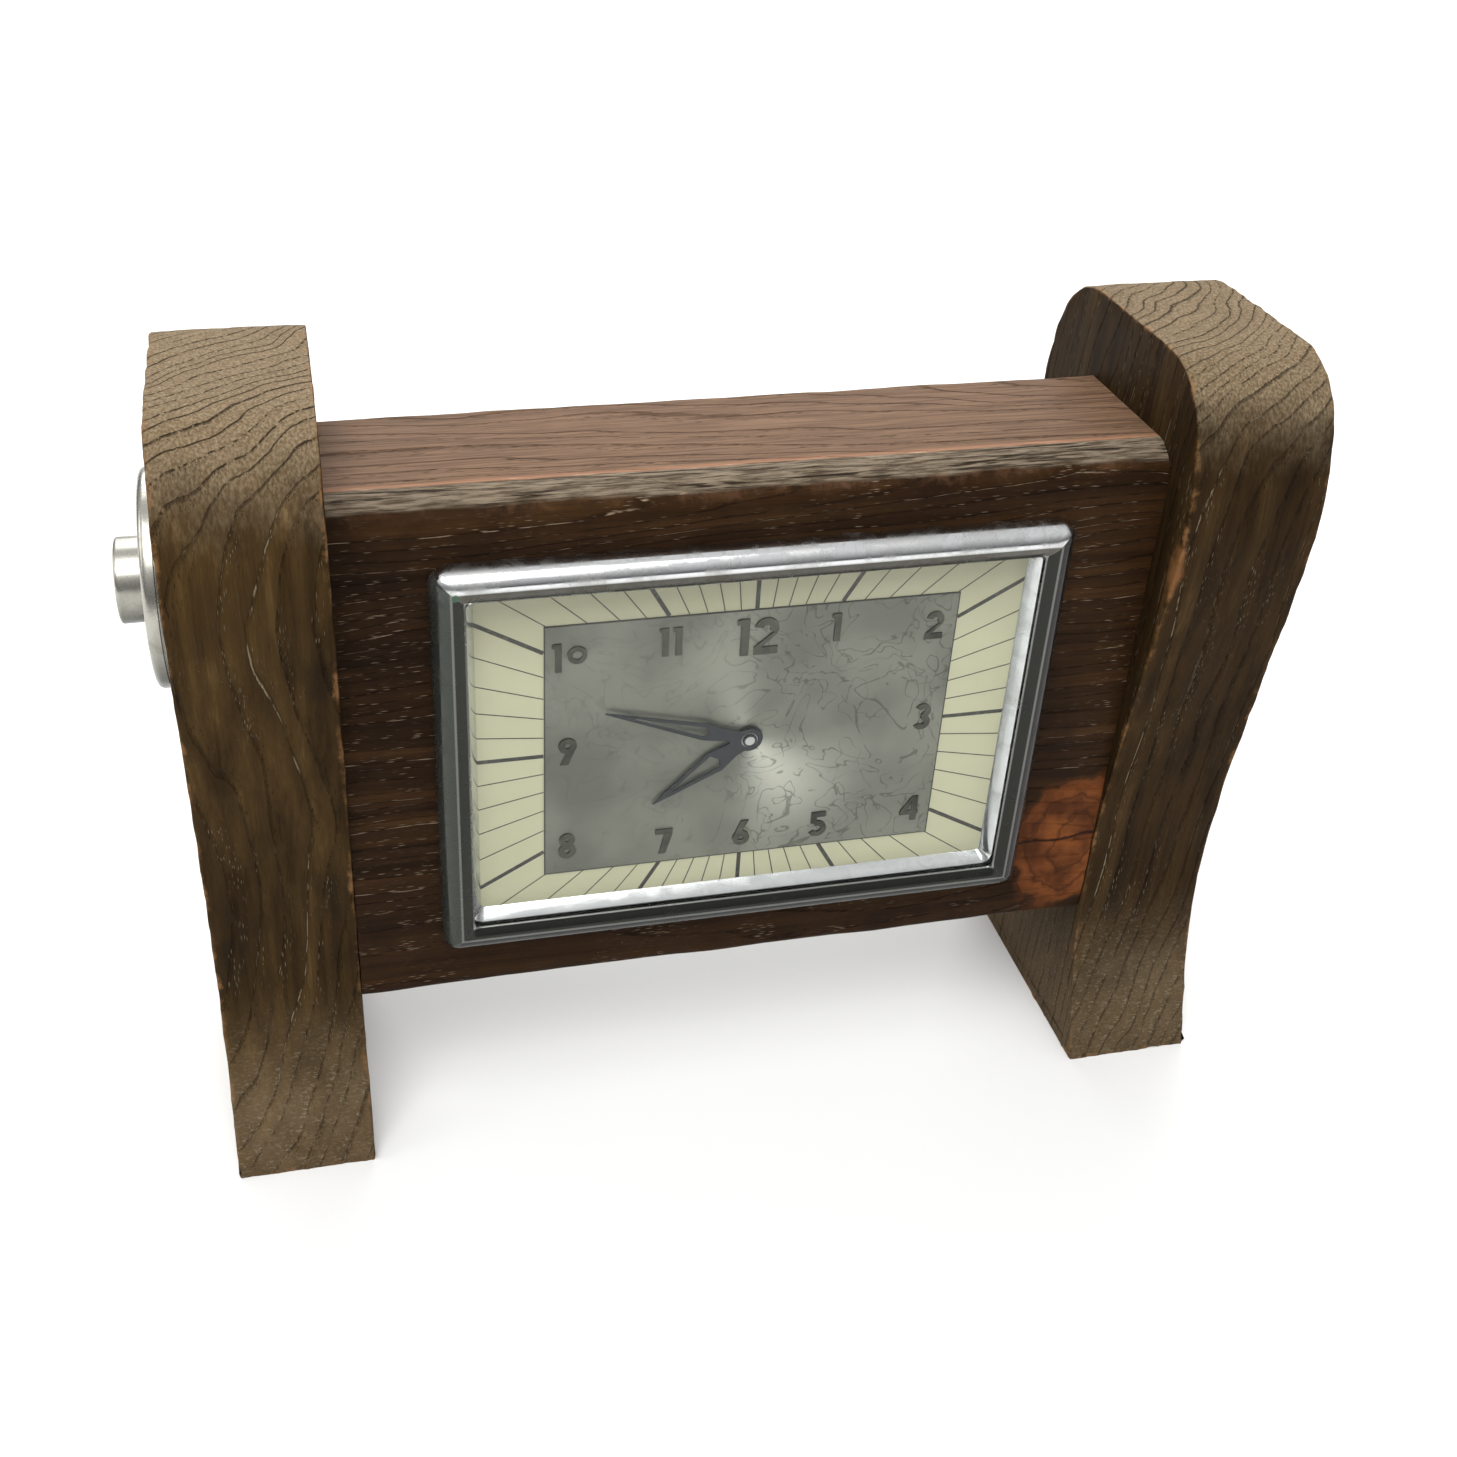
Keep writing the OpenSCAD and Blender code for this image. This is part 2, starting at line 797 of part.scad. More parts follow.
module drum() {
    color(nickel)
        difference() {
            union() {
                facing(dial_back, drum_end - dial_back) circle(drum_r);
                facing(dial_back, drum_wall) circle(drum_r + drum_flange);
            }
            facing(dial_back - past, drum_end - dial_back + 2 * past) circle(drum_r - drum_wall);
        }
}

module regulator_slot() {
    half = regulator_swing + 8;
    translate(balance_at)
        arc_band(regulator_l + 1.6, 3.2, regulator_dir - half, regulator_dir + half);
}

module back_cover() {
    rim_r = drum_r - drum_wall - seat;
    color(nickel)
        difference() {
            union() {
                facing(cover_y, cover_t) circle(cover_r);
                difference() {
                    facing(drum_end - 2, cover_y - drum_end + 2) circle(rim_r);
                    facing(drum_end - 2 - past, cover_y - drum_end + 2 + past)
                        circle(rim_r - drum_wall);
                }
            }
            facing(cover_y - past, cover_t + 2 * past) {
                translate(barrel_at) circle(barrel_pivot_r + loose);
                translate(set_at) circle(set_r + loose);
                for (a = screw_angles) translate(polar(screw_ring, a)) circle(1.5);
                for (a = tie_angles) translate(polar(tie_ring, a)) circle(tie_r + 0.1);
                regulator_slot();
            }
        }
}

// A round-headed screw along Y with a slotted head, its head at depth y.
module screw(at, r, head_r, head_t, y_tip, y) {
    difference() {
        union() {
            pin(at, r, y_tip, y + seat);
            facing(y, head_t) translate(at) circle(head_r);
        }
        facing(y + head_t * 0.5, head_t) translate(at)
            rotate(30) square([3 * head_r, head_r * 0.25], center = true);
    }
}

module cover_screws() {
    color(steel)
        for (a = screw_angles)
            screw(polar(screw_ring, a), cover_screw_r, cover_head_r, cover_head_t,
                cover_y - cover_screw_l, cover_y + cover_t);
}

module tie_screws() {
    color(steel)
        for (a = tie_angles)
            screw(polar(tie_ring, a), tie_r, tie_head_r, tie_head_t, dial_back + loose, cover_y + cover_t);
}

module plate_outline(front) {
    difference() {
        circle(plate_r);
        if (front) circle(centre_arbor_r + running);
        if (!front) circle(pivot_r + running);
        for (at = [third_at, fourth_at, escape_at, lever_at, balance_at])
            translate(at) circle(pivot_r + running);
        translate(barrel_at) circle(barrel_pivot_r + running);
        translate(set_at) circle(set_r + running);
    }
}

module front_plate() {
    color(brass) facing(plate_y, plate_t) plate_outline(true);
}

module back_plate() {
    color(brass)
        difference() {
            facing(back_y, plate_t) plate_outline(false);
            for (a = pillar_angles)
                pin(polar(pillar_ring, a), 1.1, back_y - past, back_end + past);
            pin(click_at, click_pin_r + seat, back_y - past, back_end + past);
        }
}

module pillars() {
    color(brass)
        for (a = pillar_angles)
            difference() {
                pin(polar(pillar_ring, a), pillar_r, gap_y, back_y);
                pin(polar(pillar_ring, a), 1 + seat, back_y - 6, back_y + past);
            }
}

module plate_screws() {
    color(steel)
        for (a = pillar_angles)
            screw(polar(pillar_ring, a), plate_screw_r, plate_head_r, plate_head_t,
                back_y - plate_screw_l, back_end);
}

module dial_feet() {
    color(brass)
        for (a = [60, 180, 300]) pin(polar(feet_r, a), 2, dial_back, plate_y);
}

// Power: going barrel, spring, ratchet and key

module barrel() {
    color(brass)
        difference() {
            union() {
                facing(barrel_y, barrel_l) translate(barrel_at) circle(barrel_shell_r);
                facing(barrel_end - barrel_teeth_l, barrel_teeth_l) translate(barrel_at)
                    polygon(tooth_ring(barrel_n, barrel_m, barrel_dir + 180));
            }
            pin(barrel_at, barrel_shell_r - barrel_wall, barrel_y + 1, barrel_end + past);
            pin(barrel_at, barrel_hub_r + running, barrel_y - past, barrel_y + 2);
        }
}

module barrel_cover() {
    color(brass)
        facing(barrel_end - 1, 1) translate(barrel_at)
            difference() {
                circle(barrel_shell_r - barrel_wall - seat);
                circle(barrel_hub_r + running);
            }
}

module mainspring() {
    r0 = barrel_hub_r + 1;
    r1 = barrel_shell_r - barrel_wall - 1.2;
    strip = mainspring_t;
    color(steel)
        facing(barrel_y + mainspring_room, barrel_l - 2 * mainspring_room) translate(barrel_at)
            polygon(concat(spiral_side(r0, r1, 8, 0), reversed(spiral_side(r0, r1, 8, strip))));
}

module barrel_arbor() {
    color(steel) {
        pin(barrel_at, barrel_hub_r, barrel_y - barrel_shake, barrel_end + barrel_shake);
        pin(barrel_at, barrel_pivot_r, plate_y - 0.5, handle_y + 6);
    }
}

module ratchet_wheel() {
    color(steel)
        facing(ratchet_y, ratchet_t) translate(barrel_at)
            difference() {
                polygon(saw_ring(ratchet_n, ratchet_r, ratchet_r - 1));
                circle(barrel_pivot_r + seat);
            }
}

// The click: a short lever whose nose rests just over the ratchet's teeth.
module click() {
    reach = norm(click_at - barrel_at) - ratchet_r + 0.25;
    color(steel)
        facing(ratchet_y, ratchet_t) translate(click_at) rotate(75)
            difference() {
                union() {
                    circle(2.4);
                    polygon([[-1, -2], [-1, 3], [-reach, 3.2], [-reach, 2.4], [-1.8, 0.4]]);
                }
                circle(click_pin_r + running);
            }
}

module click_screw() {
    color(steel)
        screw(click_at, click_pin_r, 1.8, 1, back_y, ratchet_y + ratchet_t + 0.1);
}

module click_spring() {
    color(steel)
        facing(ratchet_y, click_spring_t) translate(click_at) rotate(click_dir)
            translate([3.2, -3]) square([0.4, 12]);
}

module winding_key() {
    color(nickel)
        difference() {
            union() {
                pin(barrel_at, key_r, handle_y, handle_y + 6);
                translate([insert_x + barrel_at[0], 0, insert_z + barrel_at[1]])
                    for (s = [-1, 1])
                        translate([s * key_w / 4, handle_y + (handle_l + key_free) / 2, 0])
                            linear_extrude(key_wing_t, center = true)
                                soft_rect(key_w / 2 - 0.5, handle_l - key_free, 3);
            }
            pin(barrel_at, barrel_pivot_r + seat, handle_y - past, handle_y + 6 + seat);
        }
}

// Going train

module centre_wheel() {
    color(brass) {
        pin([0, 0], centre_arbor_r, nut_y, back_y - 0.3);
        pin([0, 0], pivot_r, back_y - 0.4, back_y + plate_t * 0.7);
        facing(barrel_end - barrel_teeth_l - 0.5, barrel_teeth_l + 1)
            polygon(tooth_ring(pinion_n, barrel_m, barrel_dir + 180 / pinion_n));
        facing(centre_wheel_y, wheel_t)
            difference() {
                polygon(tooth_ring(centre_n, centre_m, third_dir));
                crossings(centre_n * centre_m / 2 - 1.8, 3, 1.6);
            }
    }
}

// An arbor with a wheel at one depth and a leaf pinion at another.
module train_wheel(at, n, m, tooth_at, y, leaf_m, leaf_at, leaf_y) {
    arbor(at, arbor_r * (leaf_m > 0.3 ? 1 : 0.8), pivot_r);
    facing(y, wheel_t) translate(at)
        difference() {
            polygon(tooth_ring(n, m, tooth_at));
            crossings(n * m / 2 - 1.6, 2.2, 1.2);
        }
    facing(leaf_y - 0.6, wheel_t + 1.2) translate(at)
        polygon(tooth_ring(leaf_n, leaf_m, leaf_at + 180 + 180 / leaf_n));
}

module third_wheel() {
    color(brass)
        train_wheel(third_at, third_n, third_m, fourth_dir, third_wheel_y,
            centre_m, third_dir, centre_wheel_y);
}

module fourth_wheel() {
    color(brass)
        train_wheel(fourth_at, fourth_n, fourth_m, escape_dir, fourth_wheel_y,
            third_m, fourth_dir, third_wheel_y);
}

module escape_wheel() {
    color(steel) {
        arbor(escape_at, 0.7, pivot_r);
        facing(escape_wheel_y, wheel_t) translate(escape_at)
            polygon(saw_ring(escape_n, escape_r, escape_r - 1.6));
        facing(fourth_wheel_y - 0.6, wheel_t + 1.2) translate(escape_at)
            polygon(tooth_ring(leaf_n, fourth_m, escape_dir + 180 + 180 / leaf_n));
    }
}

// The lever: two pallet arms towards the escape wheel and a fork towards the balance.
module pallet_lever() {
    arm = 4.4;
    color(steel) {
        arbor(lever_at, 0.8, pivot_r);
        facing(escape_wheel_y, wheel_t) translate(lever_at) {
            circle(1.6);
            square([1.2, 2 * arm], center = true);
            for (s = [-1, 1]) translate([0.5, s * arm - 0.6]) square([2.8, 1.2]);
            translate([-5, -0.5]) square([5, 1]);
            for (s = [-1, 1]) translate([-6.2, s * 0.9 - 0.3]) square([1.6, 0.6]);
            translate([-5, -1.2]) square([0.8, 2.4]);
        }
    }
}

module balance_wheel() {
    color(brass) {
        arbor(balance_at, 0.9, pivot_r);
        facing(balance_y, 1.2) translate(balance_at) {
            difference() {
                circle(balance_r);
                circle(balance_r - 1.2);
            }
            square([2 * balance_r - 1, 1.4], center = true);
        }
    }
}

module hairspring() {
    color(blued)
        facing(hairspring_y, 0.6) translate(balance_at)
            polygon(concat(spiral_side(1.5, 5.5, 7, 0), reversed(spiral_side(1.5, 5.5, 7, 0.15))));
}

module balance_cap() {
    color(brass)
        difference() {
            pin(balance_at, cap_ring_r, back_end, back_end + 2);
            pin(balance_at, pivot_r + running, back_end - past, back_end + 0.6);
        }
}

// The rate lever turns on the balance cap, and its pin comes out through the cover's slot.
module regulator() {
    color(steel) {
        facing(regulator_y, regulator_t) translate(balance_at) rotate(regulator_dir)
            difference() {
                union() {
                    circle(cap_ring_r + 1.4);
                    translate([cap_ring_r, -0.7]) square([regulator_l - cap_ring_r, 1.4]);
                    translate([regulator_l, 0]) circle(regulator_pin_r + 0.3);
                }
                circle(cap_ring_r + running);
            }
        pin(balance_at + polar(regulator_l, regulator_dir), regulator_pin_r,
            regulator_y, cover_y + cover_t + 3);
    }
}

// Motion work and hand setting. The minute wheel has a gap towards the setting pinion.

module cannon_pinion() {
    color(steel)
        difference() {
            union() {
                facing(plate_y - 3, 2.2)
                    polygon(tooth_ring(cannon_n, motion_m, minute_dir));
                pin([0, 0], cannon_r, minute_y, plate_y - 0.8);
            }
            pin([0, 0], centre_arbor_r + running, minute_y - past, plate_y);
        }
}

module minute_wheel() {
    color(brass)
        difference() {
            facing(plate_y - 2.6, 1.4) translate(minute_at)
                polygon(tooth_ring(minute_n, motion_m, minute_dir + 180 + 180 / minute_n));
            pin(minute_at, 1 + running, plate_y - 8, plate_y);
        }
    color(brass)
        facing(plate_y - 6.2, 3.7) translate(minute_at)
            difference() {
                polygon(tooth_ring(cannon_n, hour_m, minute_dir + 180));
                circle(1 + running);
            }
}

module minute_post() {
    color(steel) pin(minute_at, 1, plate_y - 6.6, plate_y);
}

module hour_wheel() {
    wheel_y = plate_y - 6;
    color(brass)
        difference() {
            union() {
                facing(wheel_y, 1.2) polygon(tooth_ring(hour_n, hour_m, minute_dir + 180 / hour_n));
                pin([0, 0], hour_pipe_r, hour_y, wheel_y + 0.6);
            }
            pin([0, 0], cannon_r + running, hour_y - past, wheel_y + 2);
        }
}

module set_arbor() {
    color(steel) {
        pin(set_at, set_r, plate_y - 3, handle_y + 4);
        facing(plate_y - 2.7, 1.6) translate(set_at)
            polygon(tooth_ring(set_n, motion_m, set_dir + 180));
    }
}

module set_knob() {
    flutes = 24;
    color(nickel)
        difference() {
            union() {
                facing(handle_y, 7) translate(set_at)
                    polygon([for (i = [0 : 2 * flutes - 1])
                        polar(knob_r - (i % 2) * 0.4, 180 * i / flutes)]);
                pin(set_at, knob_r - 1, handle_y, handle_y + 8);
            }
            pin(set_at, set_r + seat, handle_y - past, handle_y + 4 + seat);
        }
}

slab_left();
slab_right();
body_block();
dowels();
side_studs();
stud_inserts();
rosette_left();
rosette_right();
cap_nut_left();
cap_nut_right();
bezel();
glass();
sight_ring();
dial_plate();
dial_centre();
numerals();
dial_clips();
hour_hand();
minute_hand();
hand_nut();
drum();
back_cover();
cover_screws();
tie_screws();
front_plate();
back_plate();
pillars();
plate_screws();
dial_feet();
barrel();
barrel_cover();
mainspring();
barrel_arbor();
ratchet_wheel();
click();
click_screw();
click_spring();
winding_key();
centre_wheel();
third_wheel();
fourth_wheel();
escape_wheel();
pallet_lever();
balance_wheel();
hairspring();
balance_cap();
regulator();
cannon_pinion();
minute_wheel();
minute_post();
hour_wheel();
set_arbor();
set_knob();
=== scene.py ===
import json
import math
import bmesh
import bpy
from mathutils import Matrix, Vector


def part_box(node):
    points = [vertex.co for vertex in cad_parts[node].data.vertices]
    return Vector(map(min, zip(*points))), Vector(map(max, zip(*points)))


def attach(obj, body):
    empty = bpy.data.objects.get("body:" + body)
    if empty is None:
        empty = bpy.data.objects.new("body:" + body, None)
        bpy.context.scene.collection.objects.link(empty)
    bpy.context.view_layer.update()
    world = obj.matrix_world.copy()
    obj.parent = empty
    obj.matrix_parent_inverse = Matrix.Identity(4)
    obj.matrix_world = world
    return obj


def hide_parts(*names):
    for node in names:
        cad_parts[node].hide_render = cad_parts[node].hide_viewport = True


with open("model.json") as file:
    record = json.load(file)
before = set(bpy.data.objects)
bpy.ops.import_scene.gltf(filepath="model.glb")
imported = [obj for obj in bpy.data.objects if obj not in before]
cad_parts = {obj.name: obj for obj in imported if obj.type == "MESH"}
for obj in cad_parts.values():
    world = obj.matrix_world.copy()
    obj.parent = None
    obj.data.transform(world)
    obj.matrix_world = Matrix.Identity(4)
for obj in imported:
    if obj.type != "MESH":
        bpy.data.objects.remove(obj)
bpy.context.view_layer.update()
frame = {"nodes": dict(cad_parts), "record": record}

mm = 0.001
nodes = frame["nodes"]
bpy.context.scene.view_settings.view_transform = "Standard"


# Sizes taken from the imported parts, in millimetres
def spanOf(node):
    low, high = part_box(node)
    return [v / mm for v in low], [v / mm for v in high]


# Shader wiring: a Wire is one output socket, and arithmetic on it adds Math nodes
class Wire:
    def __init__(self, finish, socket):
        self.finish = finish
        self.socket = socket

    def __add__(self, other):
        return self.finish.maths("ADD", self, other)

    def __radd__(self, other):
        return self.finish.maths("ADD", other, self)

    def __sub__(self, other):
        return self.finish.maths("SUBTRACT", self, other)

    def __rsub__(self, other):
        return self.finish.maths("SUBTRACT", other, self)

    def __mul__(self, other):
        return self.finish.maths("MULTIPLY", self, other)

    def __rmul__(self, other):
        return self.finish.maths("MULTIPLY", other, self)

    def __truediv__(self, other):
        return self.finish.maths("DIVIDE", self, other)

    def __pow__(self, other):
        return self.finish.maths("POWER", self, other)

    def clipped(self):
        return self.finish.maths("MAXIMUM", self.finish.maths("MINIMUM", self, 1.0), 0.0)

    def above(self, low, high):
        # 0 below low, 1 above high, smooth between
        return self.finish.node("MapRange", {"interpolation_type": "SMOOTHSTEP"},
                                {"Value": self, "From Min": low, "From Max": high})

    def below(self, low, high):
        return 1 - self.above(low, high)


class Finish:
    def __init__(self, name):
        self.material = bpy.data.materials.new(name)
        self.material.use_nodes = True
        self.tree = self.material.node_tree
        self.tree.nodes.clear()
        place = self.node("TexCoord", out="Object")
        self.place = self.vector("MULTIPLY", place, (1000, 1000, 1000))  # millimetres
        parts = self.tree.nodes.new("ShaderNodeSeparateXYZ")
        self.plug(parts.inputs[0], self.place)
        self.x, self.y, self.z = [Wire(self, parts.outputs[i]) for i in range(3)]

    def plug(self, socket, value):
        if isinstance(value, Wire):
            self.tree.links.new(value.socket, socket)
        elif hasattr(value, "__len__") and len(value) == 3 and len(socket.default_value) == 4:
            socket.default_value = (*value, 1)
        else:
            socket.default_value = value

    def node(self, kind, settings=None, sockets=None, out=0):
        made = self.tree.nodes.new("ShaderNode" + kind)
        for key, value in (settings or {}).items():
            if key == "stops":
                ramp = made.color_ramp
                while len(ramp.elements) < len(value):
                    ramp.elements.new(0.5)
                for stop, (at, colour) in zip(ramp.elements, value):
                    stop.position = at
                    stop.color = (*colour, 1)
            else:
                setattr(made, key, value)
        for key, value in (sockets or {}).items():
            self.plug(made.inputs[key], value)
        return Wire(self, made.outputs[out])

    def maths(self, operation, *values):
        return self.node("Math", {"operation": operation}, dict(enumerate(values)))

    def vector(self, operation, a, b):
        return self.node("VectorMath", {"operation": operation}, {0: a, 1: b})

    def joined(self, x, y, z):
        return self.node("CombineXYZ", None, {0: x, 1: y, 2: z})

    def noise(self, place, scale, detail=2.0, rough=0.5, twist=0.0):
        stretched = self.vector("MULTIPLY", place, scale)
        return self.node("TexNoise", None, {"Vector": stretched, "Scale": 1.0, "Detail": detail,
                                            "Roughness": rough, "Distortion": twist})

    def cells(self, place, scale):
        stretched = self.vector("MULTIPLY", place, scale)
        return self.node("TexVoronoi", None, {"Vector": stretched, "Scale": 1.0})

    def ramp(self, value, stops):
        return self.node("ValToRGB", {"stops": stops}, {0: value})

    def mix(self, share, a, b, blend="MIX"):
        return self.node("Mix", {"data_type": "RGBA", "blend_type": blend}, {0: share, 6: a, 7: b}, out=2)

    def bump(self, height, depth, under=None):
        sockets = {"Height": height, "Distance": depth * mm, "Strength": 1.0}
        if under is not None:
            sockets["Normal"] = under
        return self.node("Bump", None, sockets)

    def surface(self, **sockets):
        names = {"baseColor": "Base Color", "roughness": "Roughness", "metallic": "Metallic",
                 "normal": "Normal", "shine": "Specular IOR Level"}
        return self.node("BsdfPrincipled", None, {names[key]: value for key, value in sockets.items()})

    def output(self, shader):
        outlet = self.tree.nodes.new("ShaderNodeOutputMaterial")
        self.tree.links.new(shader.socket, outlet.inputs["Surface"])
        return self.material


print("stage and camera")
cameraSettings = {"lens": 42.05, "sensor": 36, "place": (-0.10282, -0.35384, 0.35311),
                  "turn": (58.093, -1.772, -12.142), "shift": (0.0549, -0.0622)}
cameraData = bpy.data.cameras.new("camera")
camera = bpy.data.objects.new("camera", cameraData)
bpy.context.scene.collection.objects.link(camera)
cameraData.lens = cameraSettings["lens"]
cameraData.sensor_width = cameraSettings["sensor"]
cameraData.shift_x, cameraData.shift_y = cameraSettings["shift"]
cameraData.clip_start = 0.01
camera.location = cameraSettings["place"]
camera.rotation_euler = [math.radians(a) for a in cameraSettings["turn"]]
bpy.context.scene.camera = camera

stageSettings = {"floorSize": 12, "floorColour": (0.86, 0.86, 0.85), "skyTop": (1.0, 1.0, 1.0),
                 "skyLow": (0.10, 0.10, 0.105), "skyStrength": 0.8, "skyRise": 0.75}
bpy.ops.object.select_all(action="DESELECT")
bpy.ops.mesh.primitive_plane_add(size=stageSettings["floorSize"], location=(0, 0, 0))
floor = bpy.context.active_object
floor.name = "floor"
floorFinish = Finish("floorPaint")
floor.data.materials.append(floorFinish.output(
    floorFinish.surface(baseColor=stageSettings["floorColour"], roughness=0.8, shine=0.1)))

world = bpy.data.worlds.new("studio")
bpy.context.scene.world = world
world.use_nodes = True
sky = world.node_tree
background = sky.nodes["Background"]
background.inputs["Strength"].default_value = stageSettings["skyStrength"]
skyPlace = sky.nodes.new("ShaderNodeTexCoord")
skyParts = sky.nodes.new("ShaderNodeSeparateXYZ")
skyRamp = sky.nodes.new("ShaderNodeValToRGB")
skyRamp.color_ramp.elements[0].color = (*stageSettings["skyLow"], 1)
skyRamp.color_ramp.elements[1].color = (*stageSettings["skyTop"], 1)
skyRamp.color_ramp.elements[1].position = stageSettings["skyRise"]
sky.links.new(skyPlace.outputs["Generated"], skyParts.inputs[0])
sky.links.new(skyParts.outputs["Z"], skyRamp.inputs[0])
sky.links.new(skyRamp.outputs[0], background.inputs["Color"])

lampSettings = {
    "overhead": {"place": (-0.6, -1.4, 3.1), "aim": (0, 0, 0.1), "size": 2.2, "power": 80},
    "behind": {"place": (0.4, 3.0, 2.4), "aim": (0, 0, 0.1), "size": 3.2, "power": 100},
    "side": {"place": (-3.2, 0.2, 1.7), "aim": (0, 0, 0.1), "size": 2, "power": 30},
}
for lampName, look in lampSettings.items():
    lampData = bpy.data.lights.new(lampName, "AREA")
    lampData.energy = look["power"]
    lampData.size = look["size"]
    lamp = bpy.data.objects.new(lampName, lampData)
    bpy.context.scene.collection.objects.link(lamp)
    lamp.location = look["place"]
    aim = Vector(look["aim"]) - Vector(look["place"])
    lamp.rotation_euler = aim.to_track_quat("-Z", "Y").to_euler()


# Wood: rings about a pith beside the piece, pores along the rings, rubbed edges, and dust with a painted
# sheen on upward faces
def woodFinish(name, look):
    w = Finish(name)
    along, across, deep = [{"x": w.x, "y": w.y, "z": w.z}[a] for a in look["grainAxes"]]
    grain = w.joined(across, deep, along)
    slow = w.noise(grain, (0.022, 0.022, 0.006), 2) - 0.5
    waver = w.noise(grain, (0.11, 0.11, 0.016), 3) - 0.5
    ripple = w.noise(grain, (0.9, 0.9, 0.10), 2) - 0.5
    reachA = across - look["pith"][0] - along * look["lean"][0]
    reachB = deep - look["pith"][1] - along * look["lean"][1]
    radius = w.maths("SQRT", reachA * reachA + reachB * reachB)
    wandering = radius + slow * look["slowWander"] + waver * look["wander"] + ripple * look["ripple"]
    ringCount = wandering / look["ringGap"]
    ringCount = ringCount + (w.noise(w.joined(ringCount, 0.0, 0.0), (0.45, 1, 1), 1) - 0.5) * 1.6
    ring = w.maths("FRACT", ringCount)
    ringNumber = w.maths("FLOOR", ringCount)
    strength = w.node("TexWhiteNoise", {"noise_dimensions": "1D"}, {"W": ringNumber})
    dashes = w.noise(grain, (0.8, 0.8, 0.16), 3, 0.65)
    groove = ring.below(look["groove"] * 0.35, look["groove"]) * ring.above(0.0, 0.03)
    groove = groove * (dashes + strength * 0.3).above(0.5, 0.64)
    lateWood = ring.above(0.45, 1.0)
    fibre = w.noise(grain, (1.7, 1.7, 0.05), 4, 0.62)
    fineFibre = w.noise(grain, (5.5, 5.5, 0.16), 3, 0.6)
    streak = w.noise(grain, (0.26, 0.26, 0.007), 3, 0.55)
    patch = w.noise(w.place, (0.022, 0.026, 0.017), 3, 0.55)
    blotch = w.noise(w.place, (0.09, 0.09, 0.06), 4, 0.6)
    poreCells = w.cells(grain, (2.3, 2.3, 0.24))
    pores = poreCells.below(0.10, 0.30) * (ring.below(0.2, 0.5) * 0.9 + 0.1)
    dustLine = ring.below(0.03, 0.10) * ring.above(0.0, 0.03) * strength.above(0.45, 0.75)
    dustLine = dustLine * w.noise(grain, (0.7, 0.7, 0.16), 2, 0.6).above(0.46, 0.6)
    wavyBand = w.noise(grain, (0.7, 2.6, 1.5), 2, 0.55, 0.8).above(0.52, 0.62) * (0.35 + lateWood * 0.65)

    tone = streak * 0.62 + fibre * 0.26 + (strength - 0.5) * 0.16 + blotch * 0.22 - 0.06
    wood = w.ramp(tone, look["wood"])
    wood = w.mix(lateWood * 0.4, wood, look["lateWood"])
    wood = w.mix((patch * 0.7 + blotch * 0.3).above(0.5, 0.62) * look["stain"], wood, look["dark"])
    # upward faces are mixed towards a paler tone: partly dust, partly a painted sheen of light from above
    facing = w.node("NewGeometry", out="Normal")
    upward = w.node("SeparateXYZ", None, {0: facing}, out=2)
    top = (upward + (blotch - 0.5) * 0.5).above(look["topFrom"], look["topFull"])
    topTone = w.mix(fibre.above(0.35, 0.7), look["topShade"], look["topDustAndSheen"])
    wood = w.mix(top * (0.5 + patch * 0.6).clipped() * look["topShare"], wood, topTone)
    bandLow = w.z.below(look["bandTo"] * 0.25, look["bandTo"])
    wood = w.mix(bandLow * (0.3 + blotch * 0.6) * look["bandPale"], wood, look["topShade"])
    wood = w.mix(groove * (look["seamSide"] + top * (look["seam"] - look["seamSide"])), wood, look["pore"])
    wear = w.node("Attribute", {"attribute_name": "wear"}, out="Fac")
    scuff = w.noise(w.place, (0.3, 0.3, 0.22), 4, 0.68)
    rubbed = (wear * (0.1 + scuff * 1.5)).above(0.62, 0.98) * blotch.above(0.36, 0.6)
    wood = w.mix(rubbed * look["rubShare"], wood, look["rubbed"])
    dustNoise = w.noise(w.place, (0.06, 0.06, 0.03), 3, 0.6)
    wood = w.mix(pores * 0.75, wood, look["pore"])
    sideOnly = 1 - top * look["topDark"]
    dustier = dustNoise + w.x.below(look["dustyFrom"] - 20, look["dustyFrom"] + 20) * 0.12
    dusty = (pores * dustier.above(0.44, 0.62) * 0.8 + dustLine * dustier.above(0.38, 0.56)) * sideOnly
    wood = w.mix(dusty.clipped() * look["dustShare"], wood, look["dust"])
    wood = w.mix(wavyBand * bandLow * look["bandShare"], wood, look["dust"])
    localHeight = 0.0
    for local in look["local"]:
        wood, added = local(w, wood, fineFibre)
        localHeight = localHeight + added
    speck = w.cells(w.place, (0.45, 0.45, 0.45)).below(0.03, 0.07) * dustNoise.above(0.5, 0.7)
    wood = w.mix(speck * 0.6, wood, look["dust"])

    height = fibre * 0.2 + fineFibre * 0.14 - pores * 0.5 - groove * 0.9 + lateWood * 0.2
    height = height + scuff * 0.14 - wavyBand * bandLow * 0.35 + localHeight
    rough = look["rough"] + fibre * 0.16 + pores * 0.2 + groove * 0.2 - rubbed * 0.06 + (patch - 0.5) * 0.2
    return w.output(w.surface(baseColor=wood, roughness=rough.clipped(), shine=look["shine"],
                              normal=w.bump(height, look["relief"])))


bodyLow, bodyHigh = spanOf("body_block")


# The lower right corner of the body: an orange burl with end grain and a level crack
knotShape = {"fromRight": 6, "up": 24, "crackUp": 26, "flatten": 0.75, "solidTo": 14, "goneAt": 20,
             "waver": 26, "arcWaver": 16, "arcGap": 5.5, "crackLeft": 19}


